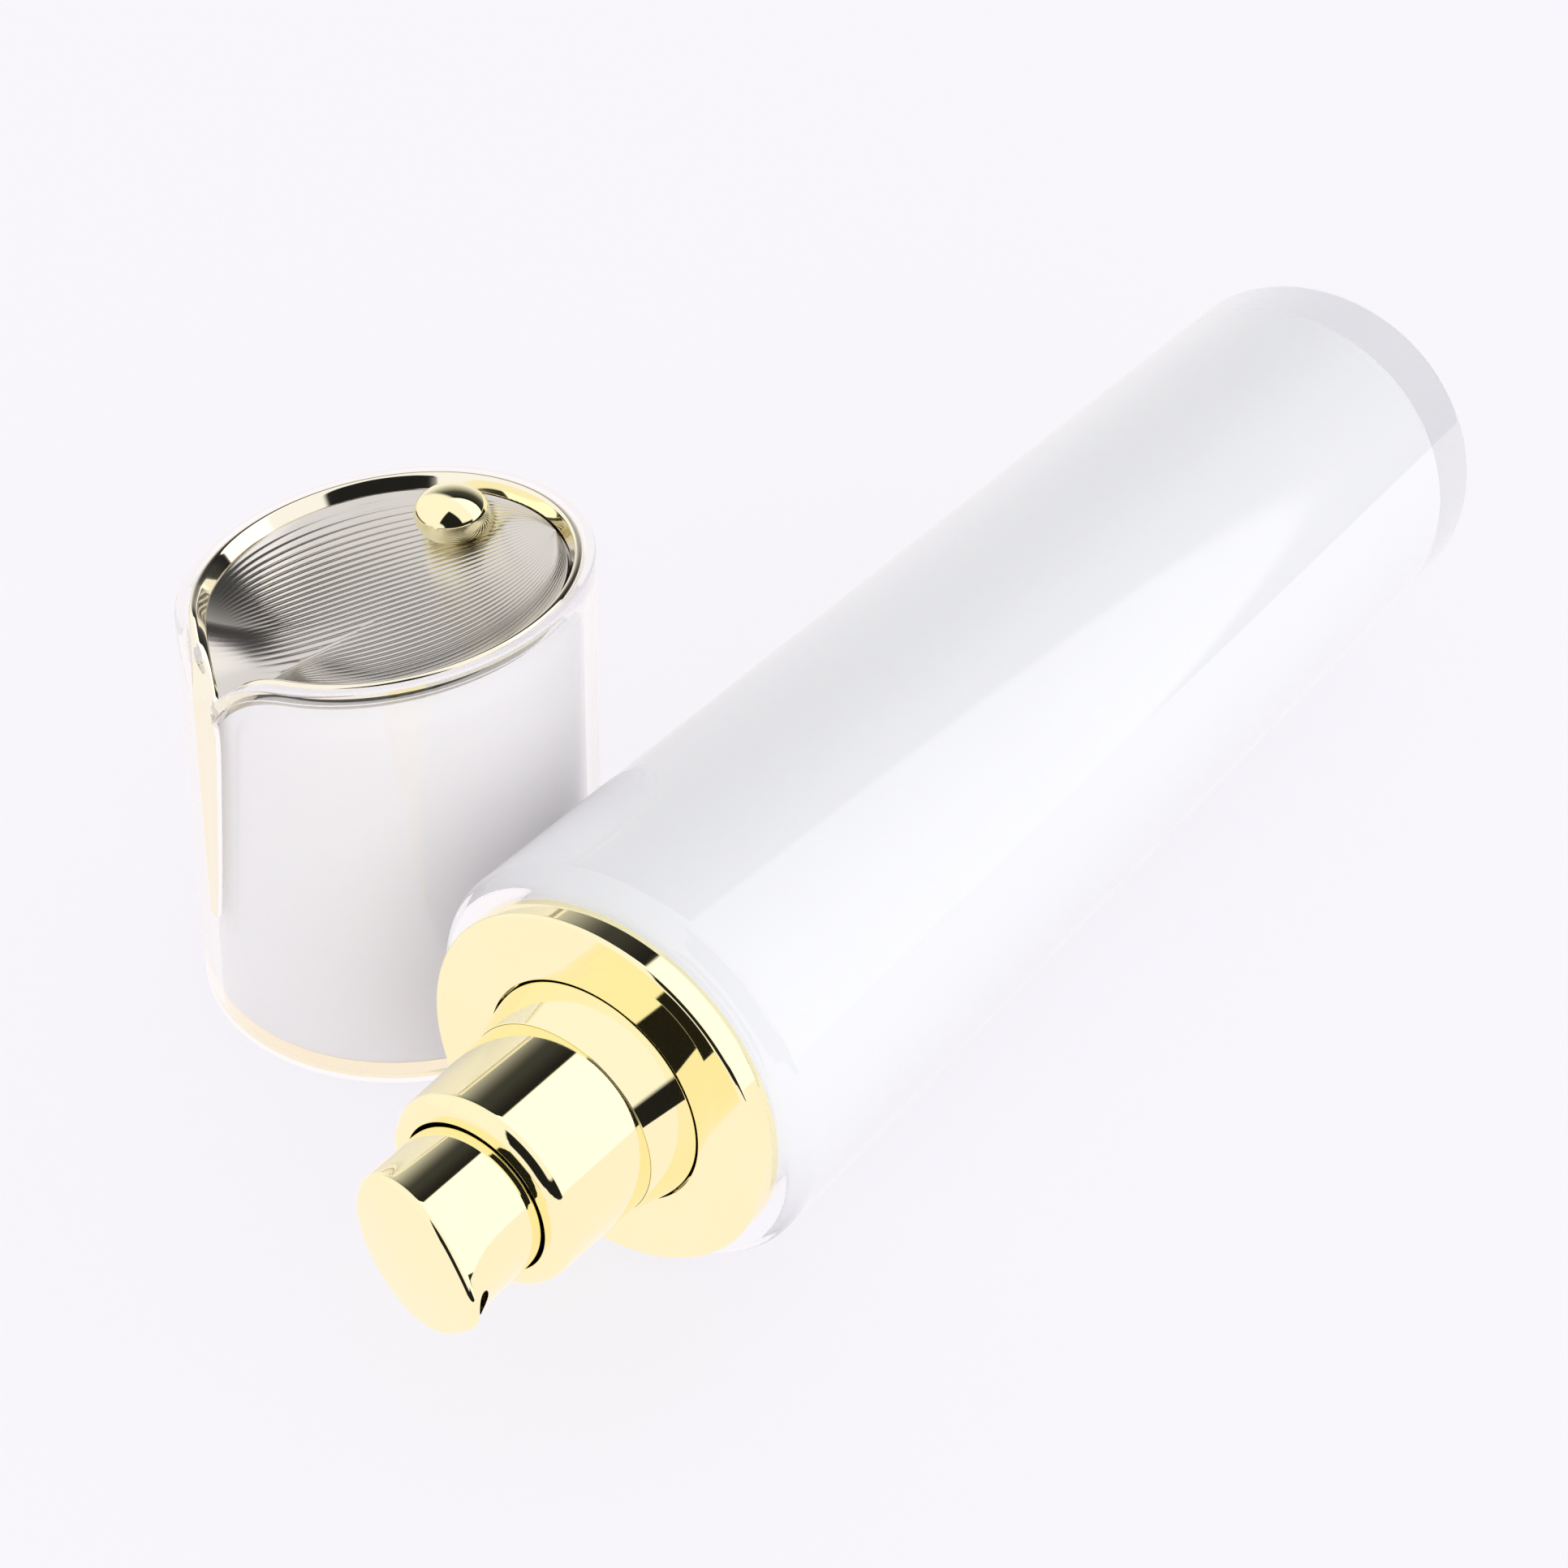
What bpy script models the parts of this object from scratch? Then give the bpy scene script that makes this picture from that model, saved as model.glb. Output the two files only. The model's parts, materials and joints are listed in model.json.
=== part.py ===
"""Airless pump bottle lying on its side, with its overcap standing on its mouth beside it.

The bottle is modelled upright, with heights measured from its foot, and is then laid down along +X
with its pump end towards -X. The cap is modelled upright round its own axis.
"""

import math

import bmesh
import bpy
from mathutils import Matrix, Vector

MM = 0.001

# Clearances
REST_GAP = 0.3 * MM
ROUND_FIT = 0.15 * MM

# Clear outer shell
BODY_DIAMETER = 34.0 * MM
SHELL_LENGTH = 114.5 * MM
SHELL_WALL = 3.0 * MM
SHELL_BASE = 5.5 * MM
SHELL_CHAMFER = 1.1 * MM

# White inner bottle
INNER_WALL = 1.3 * MM
INNER_SLACK = 0.4 * MM
NECK_WALL = 1.4 * MM
NECK_HEIGHT = 9.0 * MM
SHOULDER_HEIGHT = 3.0 * MM
PLUG_FLOOR = 1.2 * MM
PLUG_SKIRT = 2.8 * MM
PLUG_WALL = 1.0 * MM
VENT_RADIUS = 0.75 * MM

# Follower piston
FOLLOWER_HEIGHT = 9.0 * MM
FOLLOWER_LIP = 1.6 * MM
FOLLOWER_WAIST = 1.1 * MM
FOLLOWER_WALL = 1.0 * MM
FOLLOWER_FLOOR = 1.4 * MM

# Gold plate, hub and sleeve
PLATE_THICKNESS = 2.3 * MM
PLATE_BEVEL = 0.25 * MM
PLATE_SKIRT = 8.0 * MM
PLATE_SKIRT_WALL = 1.0 * MM
HUB_BASE_RADIUS = 9.35 * MM
HUB_TOP_RADIUS = 8.55 * MM
HUB_RISE = 3.8 * MM
HUB_FLANGE_RADIUS = 10.6 * MM
HUB_FLANGE_THICKNESS = 2.5 * MM
SLEEVE_RADIUS = 8.2 * MM
SLEEVE_TOP_RADIUS = 7.95 * MM
SLEEVE_WALL = 0.8 * MM
SLEEVE_RISE = 15.8 * MM
SLEEVE_SHOULDER = 1.2 * MM
SLEEVE_LIP = 1.2 * MM
HEAD_CLEARANCE = 0.4 * MM

# Closure, gasket and pump housing
CLOSURE_SLACK = 1.1 * MM
CLOSURE_WALL = 2.3 * MM
CLOSURE_TOP = 1.7 * MM
CLOSURE_SKIRT = 9.5 * MM
THREAD_SLACK = 0.3 * MM
GASKET_THICKNESS = 0.8 * MM
HOUSING_FLANGE_INSET = 0.4 * MM
HOUSING_FLANGE_THICKNESS = 0.9 * MM
BARREL_RADIUS = 4.4 * MM
BARREL_WALL = 0.9 * MM
INLET_RADIUS = 1.3 * MM
INLET_WALL = 1.5 * MM
INLET_LENGTH = 2.6 * MM
BALL_RADIUS = 1.75 * MM
BALL_SLACK = 0.5 * MM
BALL_CHAMBER = 3.8 * MM
CAGE_THICKNESS = 1.0 * MM
CAGE_HOLE_RADIUS = 1.1 * MM
CAGE_PORT_RADIUS = 0.5 * MM
CAGE_PORTS = 4

# Stem, piston, spring and guide
STEM_RADIUS = 2.15 * MM
STEM_BORE_RADIUS = 1.1 * MM
STEM_FOOT_RADIUS = 3.6 * MM
STEM_FOOT_THICKNESS = 0.9 * MM
STEM_RISE = 17.2 * MM
PISTON_HEIGHT = 4.0 * MM
PISTON_LIP = 1.1 * MM
GUIDE_DEPTH = 7.2 * MM
GUIDE_FLANGE_RADIUS = 6.4 * MM
GUIDE_FLANGE_THICKNESS = 0.8 * MM
SPRING_LENGTH = 12.0 * MM
SPRING_RADIUS = 3.0 * MM
SPRING_WIRE_RADIUS = 0.3 * MM
SPRING_TURNS = 6
SPRING_END_TURNS = 0.75

# Press head
HEAD_RADIUS = 6.0 * MM
HEAD_RISE = 22.85 * MM
HEAD_SKIRT = 14.5 * MM
HEAD_WALL = 0.8 * MM
HEAD_SLOPE = math.radians(12.4)
HEAD_EDGE = 0.45 * MM
HEAD_CROWN = 0.35 * MM
SPOUT_REACH = 1.15 * MM
SPOUT_HEIGHT = 6.0 * MM
SPOUT_HALF_ANGLE = math.radians(24)
CORE_SHORTER = 1.0 * MM
SOCKET_DEPTH = 8.5 * MM
OUTLET_DEPTH = 1.45 * MM
OUTLET_RADIUS = 0.6 * MM
OUTLET_BORE_RADIUS = 0.35 * MM

# Overcap
CAP_HEIGHT = 38.4 * MM
CAP_DRAFT = 0.0177
CAP_WALL = 1.0 * MM
CAP_EDGE = 0.3 * MM
CAP_LEAN = 0.1455
CAP_LEAN_TOWARDS = math.radians(122)
CAP_OVER_PLATE = 0.35 * MM
CAP_STANDS_AFTER = 15.7 * MM
CAP_BESIDE_GAP = 0.5 * MM
RIM_SEAT_WALL = 0.5 * MM
RIM_SEAT_DEPTH = 1.4 * MM
MOUTH_RING_HEIGHT = 1.4 * MM
LINER_WALL = 0.6 * MM
LINER_CEILING_BELOW = 11.6 * MM
LINER_CEILING_THICKNESS = 1.2 * MM
LINER_TOP_WALL = 0.9 * MM
LINER_BELOW_RIM = 2.0 * MM

# Leaf-shaped dish on the cap, its rim, tail and bead
RIM_BAND = 1.55 * MM
RIM_FALL = 1.1 * MM
RIM_EDGE = 0.9 * MM
RIM_THICKNESS = 0.6 * MM
TAIL_AT = math.radians(160.5)
TAIL_TIP_HEIGHT = 9.8 * MM
TAIL_HALF_WIDTH = 1.75 * MM
TAIL_TIP_HALF_WIDTH = 0.35 * MM
TAIL_PROUD = 0.1 * MM
TAIL_THICKNESS = 1.25 * MM
NEAR_REACH = 12.3 * MM
NEAR_DROP = 6.0 * MM
FAR_REACH = 5.0 * MM
FAR_DROP = 1.5 * MM
DROP_POWER = 1.6
DISH_DEPTH = 2.45 * MM
DISH_FLATNESS = 3.5
DISH_EDGE = 0.7 * MM
DISH_BOWL_INSET = 0.15 * MM
DISH_BOTTOM = 4.0 * MM
RIBS = 22
RIB_HEIGHT = 0.16 * MM
BEAD_RADIUS = 3.1 * MM
BEAD_HALF_HEIGHT = 2.3 * MM
BEAD_EDGE_GAP = 0.37 * MM
BEAD_AT = math.radians(11)
BEAD_SINK = 0.6 * MM
BEAD_STUD_RADIUS = 0.9 * MM
BEAD_STUD_LENGTH = 1.2 * MM

# Facets round a turned piece, outside and inside the bottle
SHOWN_STEPS = 48
CAP_STEPS = 58
HIDDEN_STEPS = 24
BEAD_STEPS = 24

# Heights of the upright bottle, from its foot
BODY_RADIUS = BODY_DIAMETER / 2
SHELL_BORE = BODY_RADIUS - SHELL_WALL
SKIRT_RADIUS = SHELL_BORE - REST_GAP
CLOSURE_RADIUS = SKIRT_RADIUS - PLATE_SKIRT_WALL - CLOSURE_SLACK
NECK_RADIUS = CLOSURE_RADIUS - CLOSURE_WALL - THREAD_SLACK
HOUSING_FLANGE_RADIUS = NECK_RADIUS - HOUSING_FLANGE_INSET
LINER_RADIUS = BODY_RADIUS - CAP_WALL - ROUND_FIT
LINER_CEILING = CAP_HEIGHT - LINER_CEILING_BELOW
PLATE_RADIUS = LINER_RADIUS - LINER_WALL - CAP_OVER_PLATE
PLATE_UNDER = SHELL_LENGTH + REST_GAP
PLATE_TOP = PLATE_UNDER + PLATE_THICKNESS
HUB_FLANGE_TOP = PLATE_UNDER - REST_GAP
HUB_FOOT = HUB_FLANGE_TOP - HUB_FLANGE_THICKNESS
HUB_TOP = PLATE_TOP + HUB_RISE
CLOSURE_UP = HUB_FOOT - REST_GAP
CLOSURE_UNDER = CLOSURE_UP - CLOSURE_TOP
HOUSING_UP = CLOSURE_UNDER - REST_GAP
HOUSING_FLANGE_UNDER = HOUSING_UP - HOUSING_FLANGE_THICKNESS
GASKET_UP = HOUSING_FLANGE_UNDER - REST_GAP
GASKET_UNDER = GASKET_UP - GASKET_THICKNESS
NECK_TOP = GASKET_UNDER - REST_GAP
NECK_FOOT = NECK_TOP - NECK_HEIGHT
SHOULDER_FOOT = NECK_FOOT - SHOULDER_HEIGHT
INNER_RADIUS = SHELL_BORE - INNER_SLACK
INNER_BORE = INNER_RADIUS - INNER_WALL
INNER_FOOT = SHELL_BASE + REST_GAP
PLUG_FOOT = INNER_FOOT + REST_GAP
PLUG_TOP = PLUG_FOOT + PLUG_FLOOR + PLUG_SKIRT
FOLLOWER_FOOT = PLUG_TOP + REST_GAP
FOLLOWER_TOP = FOLLOWER_FOOT + FOLLOWER_HEIGHT
SLEEVE_TOP = SHELL_LENGTH + SLEEVE_RISE
GUIDE_SEAT = CLOSURE_UP + REST_GAP
GUIDE_UNDER = GUIDE_SEAT - GUIDE_DEPTH
PISTON_UP = GUIDE_UNDER - REST_GAP
PISTON_UNDER = PISTON_UP - PISTON_HEIGHT
STEM_FOOT_UP = PISTON_UNDER - REST_GAP
STEM_FOOT_UNDER = STEM_FOOT_UP - STEM_FOOT_THICKNESS
STEM_TOP = SHELL_LENGTH + STEM_RISE
SPRING_TOP = STEM_FOOT_UNDER - REST_GAP
SPRING_FOOT = SPRING_TOP - SPRING_LENGTH
CAGE_UP = SPRING_FOOT - REST_GAP
CAGE_UNDER = CAGE_UP - CAGE_THICKNESS
BARREL_LEDGE = CAGE_UNDER - REST_GAP
BALL_SEAT = BARREL_LEDGE - BALL_CHAMBER
INLET_FOOT = BALL_SEAT - INLET_LENGTH
BALL_HEIGHT = BALL_SEAT + math.sqrt(BALL_RADIUS**2 - INLET_RADIUS**2) + ROUND_FIT
HEAD_TOP = SHELL_LENGTH + HEAD_RISE
HEAD_FOOT = HEAD_TOP - HEAD_SKIRT

# Places on the ground: the whole part is centred on the origin
SPOUT_TIP = HEAD_TOP + math.tan(HEAD_SLOPE) * (HEAD_RADIUS - HEAD_EDGE + SPOUT_REACH)
CAP_ACROSS = 2 * BODY_RADIUS + CAP_BESIDE_GAP
BOTTLE_FOOT_X = SPOUT_TIP / 2
BOTTLE_Y = -CAP_ACROSS / 2
PUMP_END_X = BOTTLE_FOOT_X - SHELL_LENGTH
CAP_X = PUMP_END_X + CAP_STANDS_AFTER
CAP_Y = BOTTLE_Y + CAP_ACROSS


def clear_scene():
    for old in list(bpy.data.objects):
        bpy.data.objects.remove(old, do_unlink=True)


def new_collection(name):
    made = bpy.data.collections.new(name)
    bpy.context.scene.collection.children.link(made)
    return made


def new_material(name, colour, roughness, metallic=0.0, transmission=0.0):
    made = bpy.data.materials.new(name)
    made.use_nodes = True
    shader = made.node_tree.nodes["Principled BSDF"]
    shader.inputs["Base Color"].default_value = (*colour, 1.0)
    shader.inputs["Roughness"].default_value = roughness
    shader.inputs["Metallic"].default_value = metallic
    shader.inputs["Transmission Weight"].default_value = transmission
    made.diffuse_color = (*colour, 1.0)
    return made


clear_scene()
PARTS = new_collection("pump_bottle")
CUTTERS = new_collection("cutters")
GOLD = new_material("gold_plating", (0.98, 0.84, 0.50), 0.12, metallic=1.0)
PALE_METAL = new_material("champagne_metal", (0.70, 0.68, 0.64), 0.22, metallic=1.0)
STEEL = new_material("spring_steel", (0.72, 0.73, 0.75), 0.25, metallic=1.0)
CLEAR = new_material("clear_acrylic", (0.97, 0.97, 0.99), 0.03, transmission=1.0)
WHITE = new_material("white_plastic", (0.92, 0.92, 0.93), 0.35)
NATURAL = new_material("natural_plastic", (0.86, 0.87, 0.86), 0.4)
SOFT = new_material("soft_seal", (0.80, 0.82, 0.84), 0.6)


def new_empty(name, location, rotation=(0.0, 0.0, 0.0), parent=None):
    made = bpy.data.objects.new(name, None)
    made.location = location
    made.rotation_euler = rotation
    made.parent = parent
    PARTS.objects.link(made)
    return made


LAID_DOWN = (0.0, -math.pi / 2, 0.0)
BOTTLE = new_empty("bottle_axis", (BOTTLE_FOOT_X, BOTTLE_Y, BODY_RADIUS), LAID_DOWN)
PRESS = new_empty("press_axis", (0.0, 0.0, 0.0), parent=BOTTLE)
CAP = new_empty("cap_axis", (CAP_X, CAP_Y, 0.0))


def add_object(name, mesh, material, parent, cutter=False):
    made = bpy.data.objects.new(name, mesh)
    made.parent = parent
    if cutter:
        made.hide_render = True
        made.display_type = "WIRE"
        CUTTERS.objects.link(made)
    else:
        mesh.materials.append(material)
        PARTS.objects.link(made)
    return made


def mesh_from(name, build, material, parent, cutter=False, sharp=35):
    """An object whose mesh is filled in by build(bmesh), with its faces turned outwards."""
    shape = bmesh.new()
    build(shape)
    bmesh.ops.recalc_face_normals(shape, faces=shape.faces)
    mesh = bpy.data.meshes.new(name)
    shape.to_mesh(mesh)
    shape.free()
    mesh.shade_smooth()
    mesh.set_sharp_from_angle(angle=math.radians(sharp))
    return add_object(name, mesh, material, parent, cutter)


def turned(name, profile, material, parent, steps=SHOWN_STEPS, ring=True, cutter=False):
    """A turned piece. The profile, of (radius, height), runs down the outside; a ring's comes back inside."""
    count = len(profile)
    edges = [(i, i + 1) for i in range(count - 1)]
    if ring:
        edges.append((count - 1, 0))
    mesh = bpy.data.meshes.new(name)
    mesh.from_pydata([(radius, 0.0, height) for radius, height in profile], edges, [])
    made = add_object(name, mesh, material, parent, cutter)
    screw = made.modifiers.new("turn", "SCREW")
    screw.axis = "Z"
    screw.steps = screw.render_steps = steps
    screw.use_merge_vertices = True
    screw.merge_threshold = 0.00001
    screw.use_smooth_shade = True
    return made


def cut(target, *cutters):
    for cutter in cutters:
        step = target.modifiers.new("cut_" + cutter.name, "BOOLEAN")
        step.operation = "DIFFERENCE"
        step.object = cutter


def join(target, other):
    step = target.modifiers.new("join_" + other.name, "BOOLEAN")
    step.operation = "UNION"
    step.object = other


def rounded(corner, radius, start, end, count=4):
    """Points (r, h) of an arc of this radius about a centre, from one angle to another in degrees."""
    centre_r, centre_h = corner
    turns = [math.radians(start + (end - start) * i / count) for i in range(count + 1)]
    return [(centre_r + radius * math.cos(t), centre_h + radius * math.sin(t)) for t in turns]


def bridge_rings(shape, rings, closed_loop=False):
    """Faces between rings of vertices that have equal counts."""
    pairs = list(zip(rings, rings[1:]))
    if closed_loop:
        pairs.append((rings[-1], rings[0]))
    for lower, upper in pairs:
        count = len(lower)
        for i in range(count):
            j = (i + 1) % count
            shape.faces.new((lower[i], lower[j], upper[j], upper[i]))


def make_outer_shell():
    profile = [
        (0.0, SHELL_BASE),
        (SHELL_BORE, SHELL_BASE),
        (SHELL_BORE, SHELL_LENGTH),
        (BODY_RADIUS - SHELL_CHAMFER, SHELL_LENGTH),
        (BODY_RADIUS, SHELL_LENGTH - SHELL_CHAMFER),
        *rounded((BODY_RADIUS - SHELL_CHAMFER, SHELL_CHAMFER), SHELL_CHAMFER, 0, -90, 3),
        (0.0, 0.0),
    ]
    turned("outer_shell", profile, CLEAR, BOTTLE, ring=False)


def make_inner_bottle():
    neck_bore = NECK_RADIUS - NECK_WALL
    profile = [
        (NECK_RADIUS, NECK_TOP),
        (NECK_RADIUS, NECK_FOOT),
        (INNER_RADIUS, SHOULDER_FOOT),
        (INNER_RADIUS, INNER_FOOT),
        (INNER_BORE, INNER_FOOT),
        (INNER_BORE, SHOULDER_FOOT - INNER_WALL),
        (neck_bore, NECK_FOOT - INNER_WALL),
        (neck_bore, NECK_TOP),
    ]
    turned("inner_bottle", profile, WHITE, BOTTLE, steps=36)


def make_base_plug():
    outside = INNER_BORE - ROUND_FIT
    floor_top = PLUG_FOOT + PLUG_FLOOR
    profile = [
        (outside, PLUG_TOP),
        (outside, PLUG_FOOT),
        (VENT_RADIUS, PLUG_FOOT),
        (VENT_RADIUS, floor_top),
        (outside - PLUG_WALL, floor_top),
        (outside - PLUG_WALL, PLUG_TOP),
    ]
    turned("base_plug", profile, WHITE, BOTTLE, steps=HIDDEN_STEPS)


def make_follower_piston():
    lip = INNER_BORE - ROUND_FIT
    waist = lip - FOLLOWER_WAIST
    inside = waist - FOLLOWER_WALL
    floor_under = FOLLOWER_TOP - FOLLOWER_LIP - FOLLOWER_FLOOR
    profile = [
        (0.0, FOLLOWER_TOP - FOLLOWER_LIP),
        (waist - FOLLOWER_WALL, FOLLOWER_TOP - FOLLOWER_LIP),
        (lip - FOLLOWER_WALL / 2, FOLLOWER_TOP),
        (lip, FOLLOWER_TOP),
        (lip, FOLLOWER_TOP - FOLLOWER_WALL),
        (waist, FOLLOWER_TOP - 2 * FOLLOWER_LIP),
        (waist, FOLLOWER_FOOT + 2 * FOLLOWER_LIP),
        (lip, FOLLOWER_FOOT + FOLLOWER_WALL),
        (lip, FOLLOWER_FOOT),
        (lip - FOLLOWER_WALL / 2, FOLLOWER_FOOT),
        (inside, FOLLOWER_FOOT + FOLLOWER_LIP),
        (inside, floor_under),
        (0.0, floor_under),
    ]
    turned("follower_piston", profile, NATURAL, BOTTLE, steps=HIDDEN_STEPS, ring=False)


def make_collar_plate():
    hole = HUB_BASE_RADIUS + ROUND_FIT
    skirt = SKIRT_RADIUS
    skirt_foot = PLATE_UNDER - PLATE_SKIRT
    profile = [
        (hole, PLATE_TOP),
        (PLATE_RADIUS - PLATE_BEVEL, PLATE_TOP),
        (PLATE_RADIUS, PLATE_TOP - PLATE_BEVEL),
        (PLATE_RADIUS, PLATE_UNDER),
        (skirt, PLATE_UNDER),
        (skirt, skirt_foot),
        (skirt - PLATE_SKIRT_WALL, skirt_foot),
        (skirt - PLATE_SKIRT_WALL, PLATE_UNDER),
        (hole, PLATE_UNDER),
    ]
    turned("collar_plate", profile, GOLD, BOTTLE)


def make_hub_ring():
    bore = SLEEVE_RADIUS + ROUND_FIT
    profile = [
        (bore, HUB_TOP),
        (HUB_TOP_RADIUS, HUB_TOP),
        (HUB_BASE_RADIUS, PLATE_TOP),
        (HUB_BASE_RADIUS, HUB_FLANGE_TOP),
        (HUB_FLANGE_RADIUS, HUB_FLANGE_TOP),
        (HUB_FLANGE_RADIUS, HUB_FOOT),
        (bore, HUB_FOOT),
    ]
    turned("hub_ring", profile, GOLD, BOTTLE)


def make_pump_sleeve():
    foot = CLOSURE_UP + REST_GAP
    bore = SLEEVE_TOP_RADIUS - SLEEVE_WALL
    mouth = HEAD_RADIUS + HEAD_CLEARANCE
    shoulder = (SLEEVE_TOP_RADIUS - SLEEVE_SHOULDER, SLEEVE_TOP - SLEEVE_SHOULDER)
    profile = [
        (mouth, SLEEVE_TOP),
        *rounded(shoulder, SLEEVE_SHOULDER, 90, 0),
        (SLEEVE_RADIUS, HUB_TOP),
        (SLEEVE_RADIUS, foot),
        (bore, foot),
        (bore, SLEEVE_TOP - SLEEVE_SHOULDER - SLEEVE_LIP),
        (mouth, SLEEVE_TOP - SLEEVE_SHOULDER),
    ]
    turned("pump_sleeve", profile, GOLD, BOTTLE)


def make_screw_closure():
    hole = BARREL_RADIUS
    skirt_bore = CLOSURE_RADIUS - CLOSURE_WALL
    profile = [
        (hole, CLOSURE_UP),
        (CLOSURE_RADIUS, CLOSURE_UP),
        (CLOSURE_RADIUS, CLOSURE_UP - CLOSURE_SKIRT),
        (skirt_bore, CLOSURE_UP - CLOSURE_SKIRT),
        (skirt_bore, CLOSURE_UNDER),
        (hole, CLOSURE_UNDER),
    ]
    turned("screw_closure", profile, WHITE, BOTTLE, steps=HIDDEN_STEPS)


def make_neck_gasket():
    inside = NECK_RADIUS - NECK_WALL
    profile = [
        (NECK_RADIUS, GASKET_UP),
        (NECK_RADIUS, GASKET_UNDER),
        (inside, GASKET_UNDER),
        (inside, GASKET_UP),
    ]
    turned("neck_gasket", profile, SOFT, BOTTLE, steps=HIDDEN_STEPS)


def make_pump_housing():
    outside = BARREL_RADIUS + BARREL_WALL
    chamber = BALL_RADIUS + BALL_SLACK
    nipple = INLET_RADIUS + INLET_WALL
    profile = [
        (HOUSING_FLANGE_RADIUS, HOUSING_UP),
        (HOUSING_FLANGE_RADIUS, HOUSING_FLANGE_UNDER),
        (outside, HOUSING_FLANGE_UNDER),
        (outside, BARREL_LEDGE - BARREL_WALL),
        (nipple, BALL_SEAT),
        (nipple, INLET_FOOT),
        (INLET_RADIUS, INLET_FOOT),
        (INLET_RADIUS, BALL_SEAT),
        (chamber, BALL_SEAT + chamber - INLET_RADIUS),
        (chamber, BARREL_LEDGE),
        (BARREL_RADIUS, BARREL_LEDGE),
        (BARREL_RADIUS, HOUSING_UP),
    ]
    turned("pump_housing", profile, NATURAL, BOTTLE, steps=HIDDEN_STEPS)


def make_inlet_ball():
    def build(shape):
        place = Matrix.Translation((0.0, 0.0, BALL_HEIGHT))
        bmesh.ops.create_uvsphere(shape, u_segments=14, v_segments=8, radius=BALL_RADIUS, matrix=place)

    mesh_from("inlet_ball", build, STEEL, BOTTLE)


def make_ball_cage():
    profile = [
        (BARREL_RADIUS - ROUND_FIT, CAGE_UP),
        (BARREL_RADIUS - ROUND_FIT, CAGE_UNDER),
        (CAGE_HOLE_RADIUS, CAGE_UNDER),
        (CAGE_HOLE_RADIUS, CAGE_UP),
    ]
    cage = turned("ball_cage", profile, NATURAL, BOTTLE, steps=HIDDEN_STEPS)
    port_circle = (CAGE_HOLE_RADIUS + BARREL_RADIUS) / 2 - SPRING_WIRE_RADIUS
    for index in range(CAGE_PORTS):
        turn = 2 * math.pi * index / CAGE_PORTS
        middle = Vector((port_circle * math.cos(turn), port_circle * math.sin(turn), CAGE_UNDER))
        cut(cage, round_bar(f"cage_port_{index + 1}", CAGE_PORT_RADIUS, middle, (0, 0, 1), 3 * CAGE_THICKNESS))


def round_bar(name, radius, middle, direction, length, parent=None, segments=12):
    """A cutter: a round bar of this length, centred on a point."""
    turn = Vector(direction).to_track_quat("Z", "Y").to_matrix().to_4x4()

    def build(shape):
        bmesh.ops.create_cone(
            shape, cap_ends=True, segments=segments, radius1=radius, radius2=radius, depth=length,
            matrix=Matrix.Translation(middle) @ turn,
        )

    return mesh_from(name, build, None, parent or BOTTLE, cutter=True)


def spring_points():
    """Centre line of a compression spring: closed end turns, and an open pitch between them."""
    low = SPRING_FOOT + SPRING_WIRE_RADIUS
    high = SPRING_TOP - SPRING_WIRE_RADIUS
    closed_rise = SPRING_END_TURNS * 2.6 * SPRING_WIRE_RADIUS
    points_per_turn = 10
    count = SPRING_TURNS * points_per_turn
    open_turns = SPRING_TURNS - 2 * SPRING_END_TURNS
    open_rise = high - low - 2 * closed_rise
    points = []
    for index in range(count + 1):
        turns = index / points_per_turn
        if turns < SPRING_END_TURNS:
            height = low + closed_rise * turns / SPRING_END_TURNS
        elif turns > SPRING_TURNS - SPRING_END_TURNS:
            height = high - closed_rise * (SPRING_TURNS - turns) / SPRING_END_TURNS
        else:
            height = low + closed_rise + open_rise * (turns - SPRING_END_TURNS) / open_turns
        angle = 2 * math.pi * turns
        points.append((SPRING_RADIUS * math.cos(angle), SPRING_RADIUS * math.sin(angle), height))
    return points


def wire(name, points, radius, material, parent, resolution=1, cyclic=False):
    """A round wire along the points, as a closed mesh."""
    line = bpy.data.curves.new(name, "CURVE")
    line.dimensions = "3D"
    line.bevel_depth = radius
    line.bevel_resolution = resolution
    line.use_fill_caps = True
    spline = line.splines.new("POLY")
    spline.points.add(len(points) - 1)
    for point, place in zip(spline.points, points):
        point.co = (*place, 1.0)
    spline.use_cyclic_u = cyclic
    guide = bpy.data.objects.new(name + "_line", line)
    PARTS.objects.link(guide)
    bpy.context.view_layer.update()
    graph = bpy.context.evaluated_depsgraph_get()
    mesh = bpy.data.meshes.new_from_object(guide.evaluated_get(graph))
    bpy.data.objects.remove(guide, do_unlink=True)
    shape = bmesh.new()
    shape.from_mesh(mesh)
    bmesh.ops.remove_doubles(shape, verts=shape.verts, dist=0.000001)
    bmesh.ops.recalc_face_normals(shape, faces=shape.faces)
    shape.to_mesh(mesh)
    shape.free()
    mesh.name = name
    mesh.materials.clear()
    mesh.shade_smooth()
    return add_object(name, mesh, material, parent)


def make_return_spring():
    wire("return_spring", spring_points(), SPRING_WIRE_RADIUS, STEEL, PRESS)


def make_stem_piston():
    lip = BARREL_RADIUS - ROUND_FIT
    waist = lip - PISTON_LIP / 2
    bore = STEM_RADIUS + ROUND_FIT
    profile = [
        (bore, PISTON_UP),
        (lip, PISTON_UP),
        (waist, PISTON_UP - PISTON_LIP),
        (waist, PISTON_UNDER + PISTON_LIP),
        (lip, PISTON_UNDER),
        (bore, PISTON_UNDER),
    ]
    turned("stem_piston", profile, SOFT, PRESS, steps=HIDDEN_STEPS)


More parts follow.
